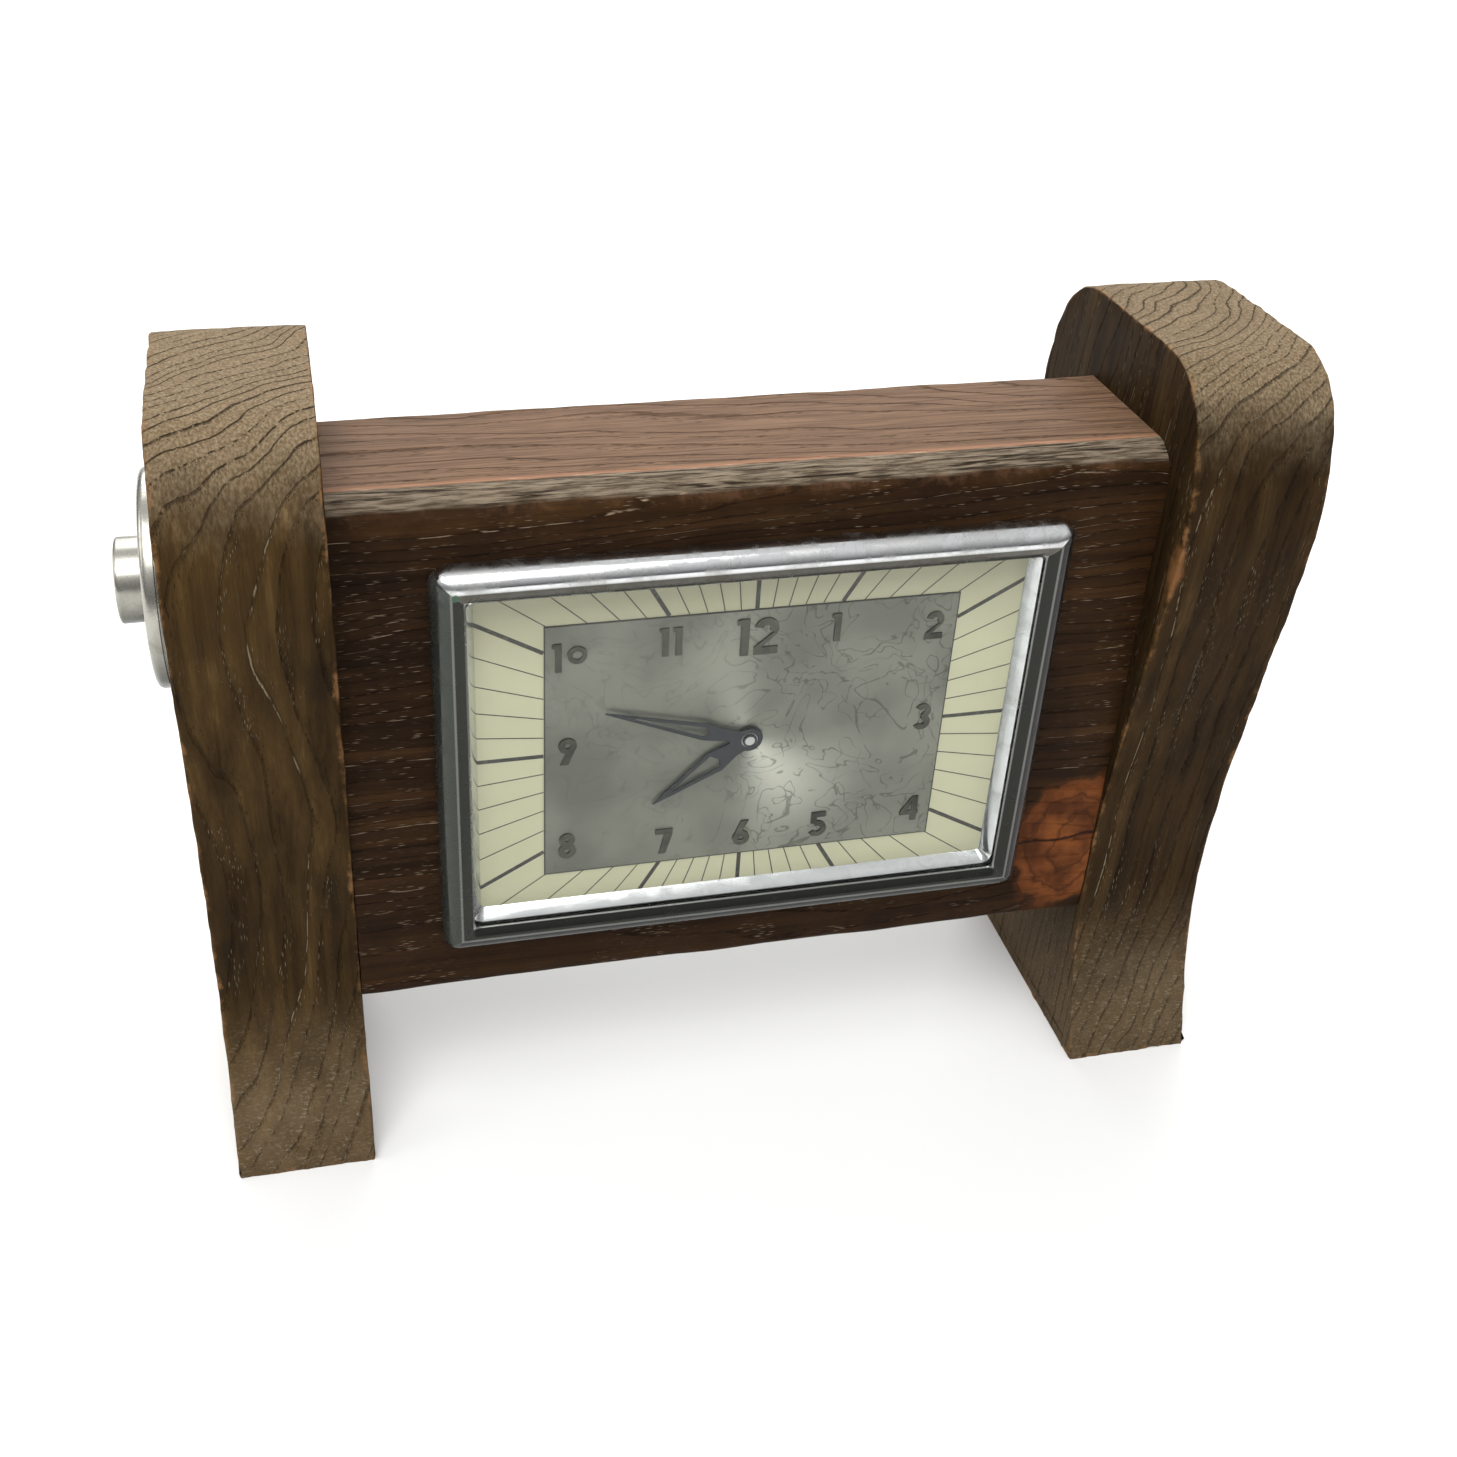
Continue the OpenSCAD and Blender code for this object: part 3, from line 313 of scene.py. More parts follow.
def bodyKnot(w, wood, fineFibre):
    centre = (bodyHigh[0] - knotShape["fromRight"], bodyLow[2] + knotShape["up"])
    crackHeight = bodyLow[2] + knotShape["crackUp"]
    dx = w.x - centre[0]
    dz = (w.z - centre[1]) * knotShape["flatten"]
    reach = w.maths("SQRT", dx * dx + dz * dz)
    warp = w.noise(w.place, (0.07, 0.07, 0.07), 3, 0.6)
    near = (reach + (warp - 0.5) * knotShape["waver"]).below(knotShape["solidTo"], knotShape["goneAt"])
    arcs = w.maths("FRACT", (reach + (warp - 0.5) * knotShape["arcWaver"]) / knotShape["arcGap"])
    arcLine = arcs.below(0.12, 0.3) * arcs.above(0.0, 0.06)
    grit = w.cells(w.place, (2.2, 2.2, 2.2)).below(0.15, 0.4)
    burl = w.mix(warp.above(0.35, 0.65), (0.07, 0.021, 0.007), (0.22, 0.068, 0.018))
    burl = w.mix(arcLine * 0.55 + grit * 0.25, burl, (0.045, 0.015, 0.006))
    wood = w.mix(near * 0.92, wood, burl)
    offLine = w.maths("ABSOLUTE", w.z - crackHeight - dx * 0.06 - (fineFibre - 0.5) * 1.2 + (warp - 0.5) * 5)
    crackFrom = centre[0] - knotShape["crackLeft"]
    crack = offLine.below(0.18, 0.5) * w.x.above(crackFrom, crackFrom + 5)
    wood = w.mix(crack * 0.9, wood, (0.02, 0.01, 0.006))
    return wood, crack * -1.5 - near * arcLine * 0.3


# The front top edge: a worn orange line with a painted highlight where the rounding starts, painted glints
# on it, and raw open grain on the rounding
crestShape = {"behindFront": 8.0, "lineDrop": 2, "rawDrop": 3.4}


def bodyCrest(w, wood, fineFibre):
    wander = w.noise(w.place, (0.05, 0.05, 0.05), 3, 0.6) - 0.5
    grit = w.noise(w.place, (0.12, 1.5, 1.5), 4, 0.65)
    split = w.noise(w.place, (0.045, 1.3, 1.3), 3, 0.6, 0.6)
    startsAt = bodyLow[1] + crestShape["behindFront"]
    lineLow = bodyHigh[2] - crestShape["lineDrop"]
    rawLow = bodyHigh[2] - crestShape["rawDrop"]
    back = w.y - startsAt + wander * 1.2
    # the orange line: partly wear, partly a painted highlight
    line = back.above(-0.5, 0.3) * back.below(0.6, 2.4) * w.z.above(lineLow, lineLow + 1)
    wornLitLine = line * (0.35 + grit * 0.9).clipped()
    wood = w.mix(wornLitLine * 0.6, wood, (0.42, 0.205, 0.115))
    raw = back.below(-0.4, 0.4) * (w.z + wander * 2.5).above(rawLow, rawLow + 1)
    rawTone = w.mix(grit.above(0.35, 0.65), (0.075, 0.055, 0.035), (0.26, 0.21, 0.15))
    wood = w.mix(raw * 0.9, wood, rawTone)
    cracks = split.below(0.36, 0.44) * raw
    wood = w.mix(cracks * 0.85, wood, (0.018, 0.011, 0.007))
    # painted glints: bright flecks on the line
    glint = line * back.below(0.5, 1.5) * grit.above(0.58, 0.7)
    wood = w.mix(glint * 0.6, wood, (0.62, 0.42, 0.30))
    return wood, raw * (grit - 0.5) * 1.2 - cracks * 1.2


# The inner shoulder edge of the right slab: rubbed to a dull orange
cornerShape = {"level": 158, "front": -42, "tall": 0.55, "narrow": 2.2}
rightInner = spanOf("slab_right")[0][0]


def slabWornCorner(w, wood, fineFibre):
    dx = (w.x - rightInner) * cornerShape["narrow"]
    dy = w.y - cornerShape["front"]
    dz = (w.z - cornerShape["level"]) * cornerShape["tall"]
    near = w.maths("SQRT", dx * dx + dz * dz + dy * dy)
    scuff = w.noise(w.place, (0.16, 0.16, 0.16), 4, 0.65)
    worn = (near + (scuff - 0.5) * 8).below(1, 6)
    wood = w.mix(worn * 0.55, wood, (0.30, 0.135, 0.05))
    return wood, worn * -0.1


slabWoodLook = {
    "grainAxes": "zxy", "pith": (-176, 78), "lean": (0.05, -0.06), "slowWander": 22, "wander": 2.4,
    "ripple": 0.3, "ringGap": 3.3, "groove": 0.19,
    "wood": [(0.0, (0.011, 0.0055, 0.0015)), (0.36, (0.027, 0.0145, 0.0045)),
             (0.58, (0.064, 0.036, 0.0115)), (0.85, (0.165, 0.1, 0.036))],
    "lateWood": (0.030, 0.017, 0.007), "dark": (0.010, 0.007, 0.004), "seam": 0.85, "seamSide": 0.4,
    "stain": 0.62, "topFrom": 0.15, "topFull": 0.8, "topShare": 0.92, "topDustAndSheen": (0.37, 0.285, 0.18),
    "topShade": (0.18, 0.125, 0.07), "topDark": 0.85,
    "rubbed": (0.30, 0.15, 0.06), "rubShare": 0.6, "pore": (0.010, 0.006, 0.003),
    "dust": (0.40, 0.33, 0.22), "dustShare": 0.6, "dustyFrom": -400, "bandTo": 55, "bandShare": 0.3,
    "bandPale": 0.75, "rough": 0.52, "shine": 0.045, "relief": 0.34, "local": [],
}
rightWoodLook = dict(slabWoodLook, pith=(38, 84), lean=(0.04, -0.05), ringGap=3.0, topDark=0.1,
                     topShade=(0.17, 0.118, 0.066), topShare=0.9, seam=0.7, local=[slabWornCorner],
                     wood=[(0.0, (0.008, 0.004, 0.0015)), (0.36, (0.017, 0.0088, 0.003)),
                           (0.58, (0.042, 0.023, 0.0078)), (0.85, (0.105, 0.062, 0.023))])
bodyWoodLook = {
    "grainAxes": "xyz", "pith": (70, 20), "lean": (0.02, 0.05), "slowWander": 26, "wander": 2.4,
    "ripple": 0.3, "ringGap": 2.3, "groove": 0.17,
    "wood": [(0.0, (0.008, 0.0034, 0.001)), (0.36, (0.0165, 0.0074, 0.0026)),
             (0.58, (0.040, 0.0185, 0.0062)), (0.85, (0.10, 0.047, 0.016))],
    "lateWood": (0.026, 0.011, 0.005), "dark": (0.011, 0.0055, 0.003), "seam": 0.4, "seamSide": 0.55,
    "stain": 0.6, "topFrom": 0.6, "topFull": 0.9, "topShare": 0.92, "topDustAndSheen": (0.275, 0.168, 0.105),
    "topShade": (0.15, 0.086, 0.052), "topDark": 0.9,
    "rubbed": (0.24, 0.12, 0.065), "rubShare": 0.2, "pore": (0.008, 0.004, 0.0025),
    "dust": (0.38, 0.28, 0.19), "dustShare": 0.75, "dustyFrom": -70, "bandTo": 20, "bandShare": 0.0,
    "bandPale": 0.0, "rough": 0.45, "shine": 0.05, "relief": 0.28, "local": [bodyKnot, bodyCrest],
}


# Plated and plain metals share one recipe: cloudy tarnish, fine scratches, small pits, and painted shade on
# down-facing faces where a look asks for it
def metalFinish(name, look):
    m = Finish(name)
    cloud = m.noise(m.place, (0.11, 0.11, 0.11), 4, 0.62, 0.6)
    grime = m.noise(m.place, (0.5, 0.5, 0.5), 4, 0.6)
    pits = m.cells(m.place, (0.9, 0.9, 0.9)).below(0.06, 0.16) * grime.above(0.45, 0.62)
    scratch = m.noise(m.place, look.get("brush", (1.2, 1.2, 1.2)), 3, 0.6)
    colour = m.mix(cloud.above(0.42, 0.72) * look["tarnishShare"], look["colour"], look["tarnish"])
    colour = m.mix(pits * look["pitShare"], colour, look["pit"])
    # painted shade: faces turned downwards are darkened
    facing = m.node("NewGeometry", out="Normal")
    downward = m.node("SeparateXYZ", None, {0: facing}, out=2).below(-0.75, 0.15)
    colour = m.mix(downward * look.get("downShare", 0.0), colour, look.get("down", (0.05, 0.05, 0.045)))
    rough = look["rough"] + cloud.above(0.4, 0.75) * look["cloudRough"] + scratch * look["scratchRough"]
    height = scratch * 0.05 - pits * 0.3 + grime * 0.06
    return m, colour, (rough + pits * 0.25).clipped(), height


def plainMetal(name, look):
    m, colour, rough, height = metalFinish(name, look)
    return m.output(m.surface(baseColor=colour, metallic=1.0, roughness=rough,
                              normal=m.bump(height, look["relief"])))


insertLow, insertHigh = spanOf("bezel")
insertX = (insertLow[0] + insertHigh[0]) / 2
insertZ = (insertLow[2] + insertHigh[2]) / 2
metalLooks = {
    "nickel": {"colour": (0.44, 0.43, 0.38), "tarnish": (0.20, 0.19, 0.155), "tarnishShare": 0.55,
               "rough": 0.2, "cloudRough": 0.16, "scratchRough": 0.1, "pit": (0.12, 0.10, 0.07),
               "pitShare": 0.5, "relief": 0.03, "downShare": 0.9, "down": (0.045, 0.05, 0.042)},
    "bezel_chrome": {"colour": (0.74, 0.75, 0.76), "tarnish": (0.42, 0.42, 0.40), "tarnishShare": 0.55,
                     "rough": 0.07, "cloudRough": 0.2, "scratchRough": 0.06, "pit": (0.10, 0.09, 0.07),
                     "pitShare": 0.7, "relief": 0.03},
    "cover_metal": {"colour": (0.52, 0.51, 0.47), "tarnish": (0.30, 0.29, 0.25), "tarnishShare": 0.5,
                    "rough": 0.28, "cloudRough": 0.14, "scratchRough": 0.14, "brush": (0.15, 3.0, 6.0),
                    "pit": (0.13, 0.10, 0.06), "pitShare": 0.4, "relief": 0.03},
    "brass": {"colour": (0.72, 0.52, 0.22), "tarnish": (0.36, 0.24, 0.10), "tarnishShare": 0.5,
              "rough": 0.22, "cloudRough": 0.18, "scratchRough": 0.1, "pit": (0.14, 0.08, 0.03),
              "pitShare": 0.4, "relief": 0.02},
    "steel": {"colour": (0.46, 0.46, 0.47), "tarnish": (0.24, 0.23, 0.22), "tarnishShare": 0.4,
              "rough": 0.2, "cloudRough": 0.15, "scratchRough": 0.1, "pit": (0.10, 0.07, 0.05),
              "pitShare": 0.4, "relief": 0.02},
    "numeral_metal": {"colour": (0.085, 0.084, 0.068), "tarnish": (0.035, 0.033, 0.027), "tarnishShare": 0.8,
                      "rough": 0.34, "cloudRough": 0.15, "scratchRough": 0.1, "pit": (0.06, 0.055, 0.045),
                      "pitShare": 0.6, "relief": 0.03},
}


def dialCream():
    d = Finish("dialCream")
    mottled = d.noise(d.place, (0.05, 0.05, 0.05), 3, 0.5)
    grain = d.noise(d.place, (2.5, 2.5, 2.5), 3, 0.6)
    # darker towards the top of the dial
    nearTop = d.z.above(insertZ + 20, insertZ + 44) * 0.7
    cream = d.mix(mottled, (0.60, 0.585, 0.40), (0.53, 0.515, 0.345))
    cream = d.mix(nearTop, cream, (0.36, 0.34, 0.23))
    speck = d.cells(d.place, (0.7, 0.7, 0.7)).below(0.03, 0.08) * mottled.above(0.5, 0.6)
    cream = d.mix(speck * 0.6, cream, (0.16, 0.13, 0.08))
    return d.output(d.surface(baseColor=cream, roughness=0.42 + grain * 0.12, shine=0.4,
                              normal=d.bump(grain, 0.01)))


def dialSilver():
    d = Finish("dialSilver")
    half = [(b - a) / 2 for a, b in zip(*spanOf("dial_centre"))]
    offX, offZ = d.x - insertX, d.z - insertZ
    edge = d.maths("MINIMUM", half[0] - d.maths("ABSOLUTE", offX), half[2] - d.maths("ABSOLUTE", offZ))
    reach = d.maths("SQRT", offX * offX + offZ * offZ)
    turned = d.noise(d.joined(reach, 0.0, 0.0), (5.0, 1, 1), 3, 0.7)
    turn = d.maths("ARCTAN2", offZ, offX)
    fan = d.maths("COSINE", turn + 0.85) * 0.5 + 0.5  # a painted highlight fan towards the lower right, standing in for the brushed dial's reflection
    fanBack = d.maths("COSINE", (turn - 1.9) * 2.0) * 0.5 + 0.5
    fanHighlight = (fan ** 14.0 * 0.8 + fanBack ** 6.0 * 0.3) * reach.below(10, 46) + reach.below(1, 12) * 0.1
    cloud = d.noise(d.place, (0.035, 0.035, 0.035), 3, 0.5)
    stain = d.noise(d.place, (0.16, 0.16, 0.16), 5, 0.65)
    wander = d.noise(d.place, (0.05, 0.05, 0.05), 3, 0.45, 0.7)
    finer = d.noise(d.place, (0.12, 0.12, 0.12), 2, 0.4, 0.4)
    thread = 0.0
    for field, level, wide in ((wander, 0.45, 0.007), (wander, 0.53, 0.006), (wander, 0.61, 0.007),
                               (finer, 0.60, 0.010)):
        thread = thread + d.maths("ABSOLUTE", field - level).below(wide * 0.25, wide)
    broken = d.noise(d.place, (0.3, 0.3, 0.3), 3).above(0.36, 0.46)
    side = d.x.above(insertX - 14, insertX + 10)
    thread = thread.clipped() * broken * (0.3 + side * 0.5)
    silver = d.mix(cloud.above(0.35, 0.65), (0.225, 0.227, 0.187), (0.15, 0.153, 0.127))
    # painted highlight: the fans and the middle are mixed towards bright silver
    silver = d.mix(fanHighlight.clipped(), silver, (0.60, 0.60, 0.52))
    silver = d.mix(stain.above(0.6, 0.72) * 0.35, silver, (0.12, 0.115, 0.09))
    silver = d.mix(thread * 0.55, silver, (0.05, 0.045, 0.032))
    silver = d.mix(edge.below(0.15, 0.4), silver, (0.05, 0.05, 0.045))
    rough = 0.4 + cloud * 0.12 + thread * 0.2 + stain * 0.06
    return d.output(d.surface(baseColor=silver, metallic=0.55, roughness=rough, shine=0.3,
                              normal=d.bump(turned * 0.2 + stain * 0.3 - thread * 0.6, 0.02)))


def paintFinish(name, colour, worn, rough, metallic=0.0):
    p = Finish(name)
    wear = p.noise(p.place, (0.9, 0.9, 0.9), 4, 0.65)
    grain = p.noise(p.place, (4, 4, 4), 3, 0.6)
    shade = p.mix(wear.above(0.5, 0.68) * 0.7, colour, worn)
    return p.output(p.surface(baseColor=shade, metallic=metallic, roughness=rough + grain * 0.15,
                              normal=p.bump(grain * 0.5 + wear * 0.5, 0.015)))


def glassFinish():
    g = Finish("clearGlass")
    smear = g.noise(g.place, (0.03, 0.05, 0.06), 4, 0.6, 0.8)
    mirror = g.node("BsdfAnisotropic", None, {"Color": (0.95, 0.97, 0.96), "Roughness": 0.02 + smear * 0.03})
    clear = g.node("BsdfTransparent", None, {"Color": (0.985, 0.99, 0.987)})
    grazing = g.node("LayerWeight", None, {"Blend": 0.5}, out=1)
    share = grazing ** 5.0 * 0.8 + 0.012 + smear.above(0.5, 0.8) * 0.012
    return g.output(g.node("MixShader", None, {0: share, 1: clear, 2: mirror}))


def beechFinish():
    b = Finish("beech")
    fibre = b.noise(b.place, (0.06, 1.6, 1.6), 4, 0.6)
    fleck = b.cells(b.place, (0.3, 1.6, 1.6)).below(0.1, 0.25)
    tone = b.mix(fibre, (0.50, 0.33, 0.18), (0.66, 0.47, 0.28))
    tone = b.mix(fleck * 0.5, tone, (0.36, 0.21, 0.10))
    return b.output(b.surface(baseColor=tone, roughness=0.55 + fibre * 0.1,
                              normal=b.bump(fibre - fleck, 0.05)))


print("finishes")
finishes = {key: plainMetal(key, look) for key, look in metalLooks.items()}
finishes["slab_wood"] = woodFinish("slabWood", slabWoodLook)
slabWoodRight = woodFinish("slabWoodRight", rightWoodLook)
finishes["body_wood"] = woodFinish("bodyWood", bodyWoodLook)
finishes["dowel_wood"] = beechFinish()
finishes["glass"] = glassFinish()
finishes["dial_cream"] = dialCream()
finishes["dial_silver"] = dialSilver()
finishes["hand_blue"] = paintFinish("blueSteel", (0.018, 0.020, 0.025), (0.045, 0.047, 0.05), 0.34, 0.3)
printInk = paintFinish("printInk", (0.035, 0.032, 0.026), (0.13, 0.12, 0.09), 0.5)


def arborFinish():
    # brass wheel on a bright steel arbor
    arborEdge = (1.25, 1.4)
    m, colour, rough, height = metalFinish("arborMetal", metalLooks["brass"])
    offX, offZ = m.x - insertX, m.z - insertZ
    onArbor = m.maths("SQRT", offX * offX + offZ * offZ).below(*arborEdge)
    colour = m.mix(onArbor, colour, (0.50, 0.50, 0.49))
    return m.output(m.surface(baseColor=colour, metallic=1.0, roughness=rough,
                              normal=m.bump(height, 0.02)))


for part in frame["record"]["subparts"]:
    node = nodes[part["node"]]
    node.data.materials.clear()
    node.data.materials.append(finishes[part["material_slot"]])
wheelNode = nodes["centre_wheel"]
wheelNode.data.materials.clear()
wheelNode.data.materials.append(arborFinish())


# Modelling helpers
def deselectAll():
    if bpy.context.object and bpy.context.object.mode != "OBJECT":
        bpy.ops.object.mode_set(mode="OBJECT")
    bpy.ops.object.select_all(action="DESELECT")


def editStart():
    bpy.ops.object.mode_set(mode="EDIT")
    bpy.ops.mesh.select_all(action="DESELECT")


def editEnd():
    bpy.ops.object.mode_set(mode="OBJECT")


def pick(kind, test):
    # Selects vertices, edges or faces of the edited mesh that pass a test
    mesh = bpy.context.edit_object.data
    bpy.ops.mesh.select_mode(type=kind)
    bpy.ops.mesh.select_all(action="DESELECT")
    work = bmesh.from_edit_mesh(mesh)
    for item in {"VERT": work.verts, "EDGE": work.edges, "FACE": work.faces}[kind]:
        if test(item):
            item.select = True
    work.select_flush_mode()
    bmesh.update_edit_mesh(mesh)


def runsAlong(edge, axis, least=0.0):
    step = edge.verts[1].co - edge.verts[0].co
    others = [abs(step[i]) for i in range(3) if i != axis]
    return abs(step[axis]) > least and max(others) < 1e-6


def finishPiece(piece, name, body, material, replaced=(), smooth=35):
    deselectAll()
    piece.select_set(True)
    bpy.context.view_layer.objects.active = piece
    bpy.ops.object.transform_apply(location=True, rotation=True, scale=True)
    bpy.ops.object.shade_smooth_by_angle(angle=math.radians(smooth))
    piece.name = name
    piece.data.name = name
    piece.data.materials.clear()
    piece.data.materials.append(material)
    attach(piece, body)
    if replaced:
        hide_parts(*replaced)


def applied(piece, kind, **settings):
    deselectAll()
    piece.select_set(True)
    bpy.context.view_layer.objects.active = piece
    modifier = piece.modifiers.new(kind.lower(), kind)
    for key, value in settings.items():
        setattr(modifier, key, value)
    bpy.ops.object.modifier_apply(modifier=modifier.name)


# Lumps the surface along its grain: the guide stretches the noise
def reliefAlong(piece, scale, strength, group="", rest=0.5):
    cloth = bpy.data.textures.new("relief", "CLOUDS")
    cloth.noise_scale = 1.0
    cloth.noise_depth = 2
    guide = bpy.data.objects.new("guide", None)
    bpy.context.scene.collection.objects.link(guide)
    guide.scale = scale
    bpy.context.view_layer.update()
    settings = {"texture": cloth, "texture_coords": "OBJECT", "texture_coords_object": guide,
                "strength": strength, "mid_level": rest}
    if group:
        settings["vertex_group"] = group
    applied(piece, "DISPLACE", **settings)
    bpy.data.objects.remove(guide)


def wearAttribute(piece, distance, reach):
    # 1 on an edge, falling to 0 at reach millimetres from it
    attribute = piece.data.attributes.new("wear", "FLOAT", "POINT")
    values = [max(0.0, 1 - distance(v.co / mm) / reach) for v in piece.data.vertices]
    attribute.data.foreach_set("value", values)
    group = piece.vertex_groups.new(name="wear")
    for i, value in enumerate(values):
        if value > 0:
            group.add([i], value, "REPLACE")


print("slabs")
slabShape = {"waistIn": 12, "waistZ": 58, "shoulderIn": 0.7, "shoulderDrop": 41, "crownRun": 26,
             "waistRows": 24, "riseRows": 42, "crownRows": 32, "topCuts": 26, "footCuts": 60, "sideCuts": 27,
             "edgeRound": 0.55, "relief": 0.45, "edgeRelief": 0.9, "wearReach": 4.5, "footFlat": 0.3,
             "insets": (0.9, 1.0, 1.2)}
parking = 5  # metres below the slab, where finished rows wait so that rows never meet


def slabInset(z, height):
    shoulder = height - slabShape["shoulderDrop"]
    if z <= slabShape["waistZ"]:
        return slabShape["waistIn"] * math.sin(math.pi / 2 * z / slabShape["waistZ"])
    if z <= shoulder:
        share = (z - slabShape["waistZ"]) / (shoulder - slabShape["waistZ"])
        drop = slabShape["waistIn"] - slabShape["shoulderIn"]
        return slabShape["shoulderIn"] + drop * max(0.0, math.cos(math.pi / 2 * share)) ** 1.3
    share = min(1.0, (z - shoulder) / slabShape["shoulderDrop"])
    return slabShape["shoulderIn"] + slabShape["crownRun"] * (1 - (1 - share ** 2.5) ** 0.4)


def crownLevel(share):
    # Level whose distance round the crown is that share of a quarter turn
    return math.sin(math.pi / 2 * share) ** 0.8


def slabPiece(node, name, material):
    low, high = spanOf(node)
    height, depth, thick = high[2], high[1] - low[1], high[0] - low[0]
    shoulder = height - slabShape["shoulderDrop"]
    levels = [slabShape["waistZ"] * i / slabShape["waistRows"] for i in range(slabShape["waistRows"])]
    rise = shoulder - slabShape["waistZ"]
    levels += [slabShape["waistZ"] + rise * i / slabShape["riseRows"] for i in range(slabShape["riseRows"])]
    rows = slabShape["crownRows"]
    levels += [shoulder + slabShape["shoulderDrop"] * crownLevel(i / rows) for i in range(rows + 1)]
    count = len(levels)
    deselectAll()
    bpy.ops.mesh.primitive_plane_add(size=1, rotation=(0, math.pi / 2, 0),
                                     location=(low[0] * mm, 0, height / 2 * mm))
    piece = bpy.context.active_object
    piece.scale = (height * mm, depth * mm, 1)
    bpy.ops.object.transform_apply(location=True, rotation=True, scale=True)
    editStart()
    pick("EDGE", lambda e: runsAlong(e, 2, 0.1))
    bpy.ops.mesh.subdivide(number_cuts=count - 2)
    for i in range(count - 1, -1, -1):
        start = height * mm * i / (count - 1)
        pick("VERT", lambda v: abs(v.co.z - start) < 1e-6)
        squeeze = 1 - 2 * slabInset(levels[i], height) / depth
        bpy.ops.transform.resize(value=(1, squeeze, 1), center_override=(low[0] * mm, 0, start))
        if i in (0, count - 1):
            continue
        bpy.ops.transform.translate(value=(0, 0, levels[i] * mm - start - parking))
    pick("VERT", lambda v: v.co.z < -1)
    bpy.ops.transform.translate(value=(0, 0, parking))
    bpy.ops.mesh.select_mode(type="FACE")
    bpy.ops.mesh.select_all(action="SELECT")
    bpy.ops.mesh.dissolve_faces()
    pick("EDGE", lambda e: runsAlong(e, 1, 0.02) and e.verts[0].co.z > 0.1)
    bpy.ops.mesh.subdivide(number_cuts=slabShape["topCuts"])
    pick("EDGE", lambda e: runsAlong(e, 1, 0.02) and e.verts[0].co.z < 0.001)
    bpy.ops.mesh.subdivide(number_cuts=slabShape["footCuts"])
    bpy.ops.mesh.select_all(action="SELECT")
    bpy.ops.mesh.extrude_region_move(TRANSFORM_OT_translate={"value": (thick * mm, 0, 0)})
    bpy.ops.mesh.select_all(action="SELECT")
    bpy.ops.mesh.normals_make_consistent(inside=False)
    pick("EDGE", lambda e: runsAlong(e, 0, 0.01))
    bpy.ops.mesh.subdivide(number_cuts=slabShape["sideCuts"])
    pick("EDGE", lambda e: len(e.link_faces) == 2 and e.calc_face_angle(0) > 0.9)
    bpy.ops.mesh.bevel(offset=slabShape["edgeRound"] * mm, segments=3, profile=0.5, clamp_overlap=True)
    for step in slabShape["insets"]:
        pick("FACE", lambda f: len(f.verts) > 90)
        bpy.ops.mesh.inset(thickness=step * mm, use_even_offset=False)
    editEnd()

    def toEdge(p):
        # second smallest distance to a bounding face
        outline = (depth / 2 - slabInset(min(max(p.z, 0), height), height)) - abs(p.y)
        if p.z > shoulder:
            outline = min(outline, height - p.z)
        gaps = sorted([p.x - low[0], high[0] - p.x, max(outline, 0.0), p.z])
        return gaps[1]

    wearAttribute(piece, toEdge, slabShape["wearReach"])
    reliefAlong(piece, (0.006, 0.006, 0.05), slabShape["relief"] * mm)
    reliefAlong(piece, (0.004, 0.004, 0.009), slabShape["edgeRelief"] * mm, "wear", 0.7)
    editStart()
    pick("VERT", lambda v: v.co.z < slabShape["footFlat"] * mm)
    bpy.ops.transform.resize(value=(1, 1, 0), center_override=(0, 0, 0))  # the foot stands flat
    editEnd()
    finishPiece(piece, name, "case", material, [node], 40)


slabPiece("slab_left", "sideSlabLeft", finishes["slab_wood"])
slabPiece("slab_right", "sideSlabRight", slabWoodRight)

print("body")
bodyShape = {"frontRound": 8, "softRound": 2, "lengthCuts": 100, "heightCuts": 84, "depthCuts": 34,
             "relief": 0.32, "edgeRelief": 0.9, "wearReach": 7, "crestReach": 3.4, "pocketDeep": 9,
             "pocketRoom": 3.4, "bore": 44.5, "recess": 51.5, "roundSides": 128, "screwHead": 1.3}


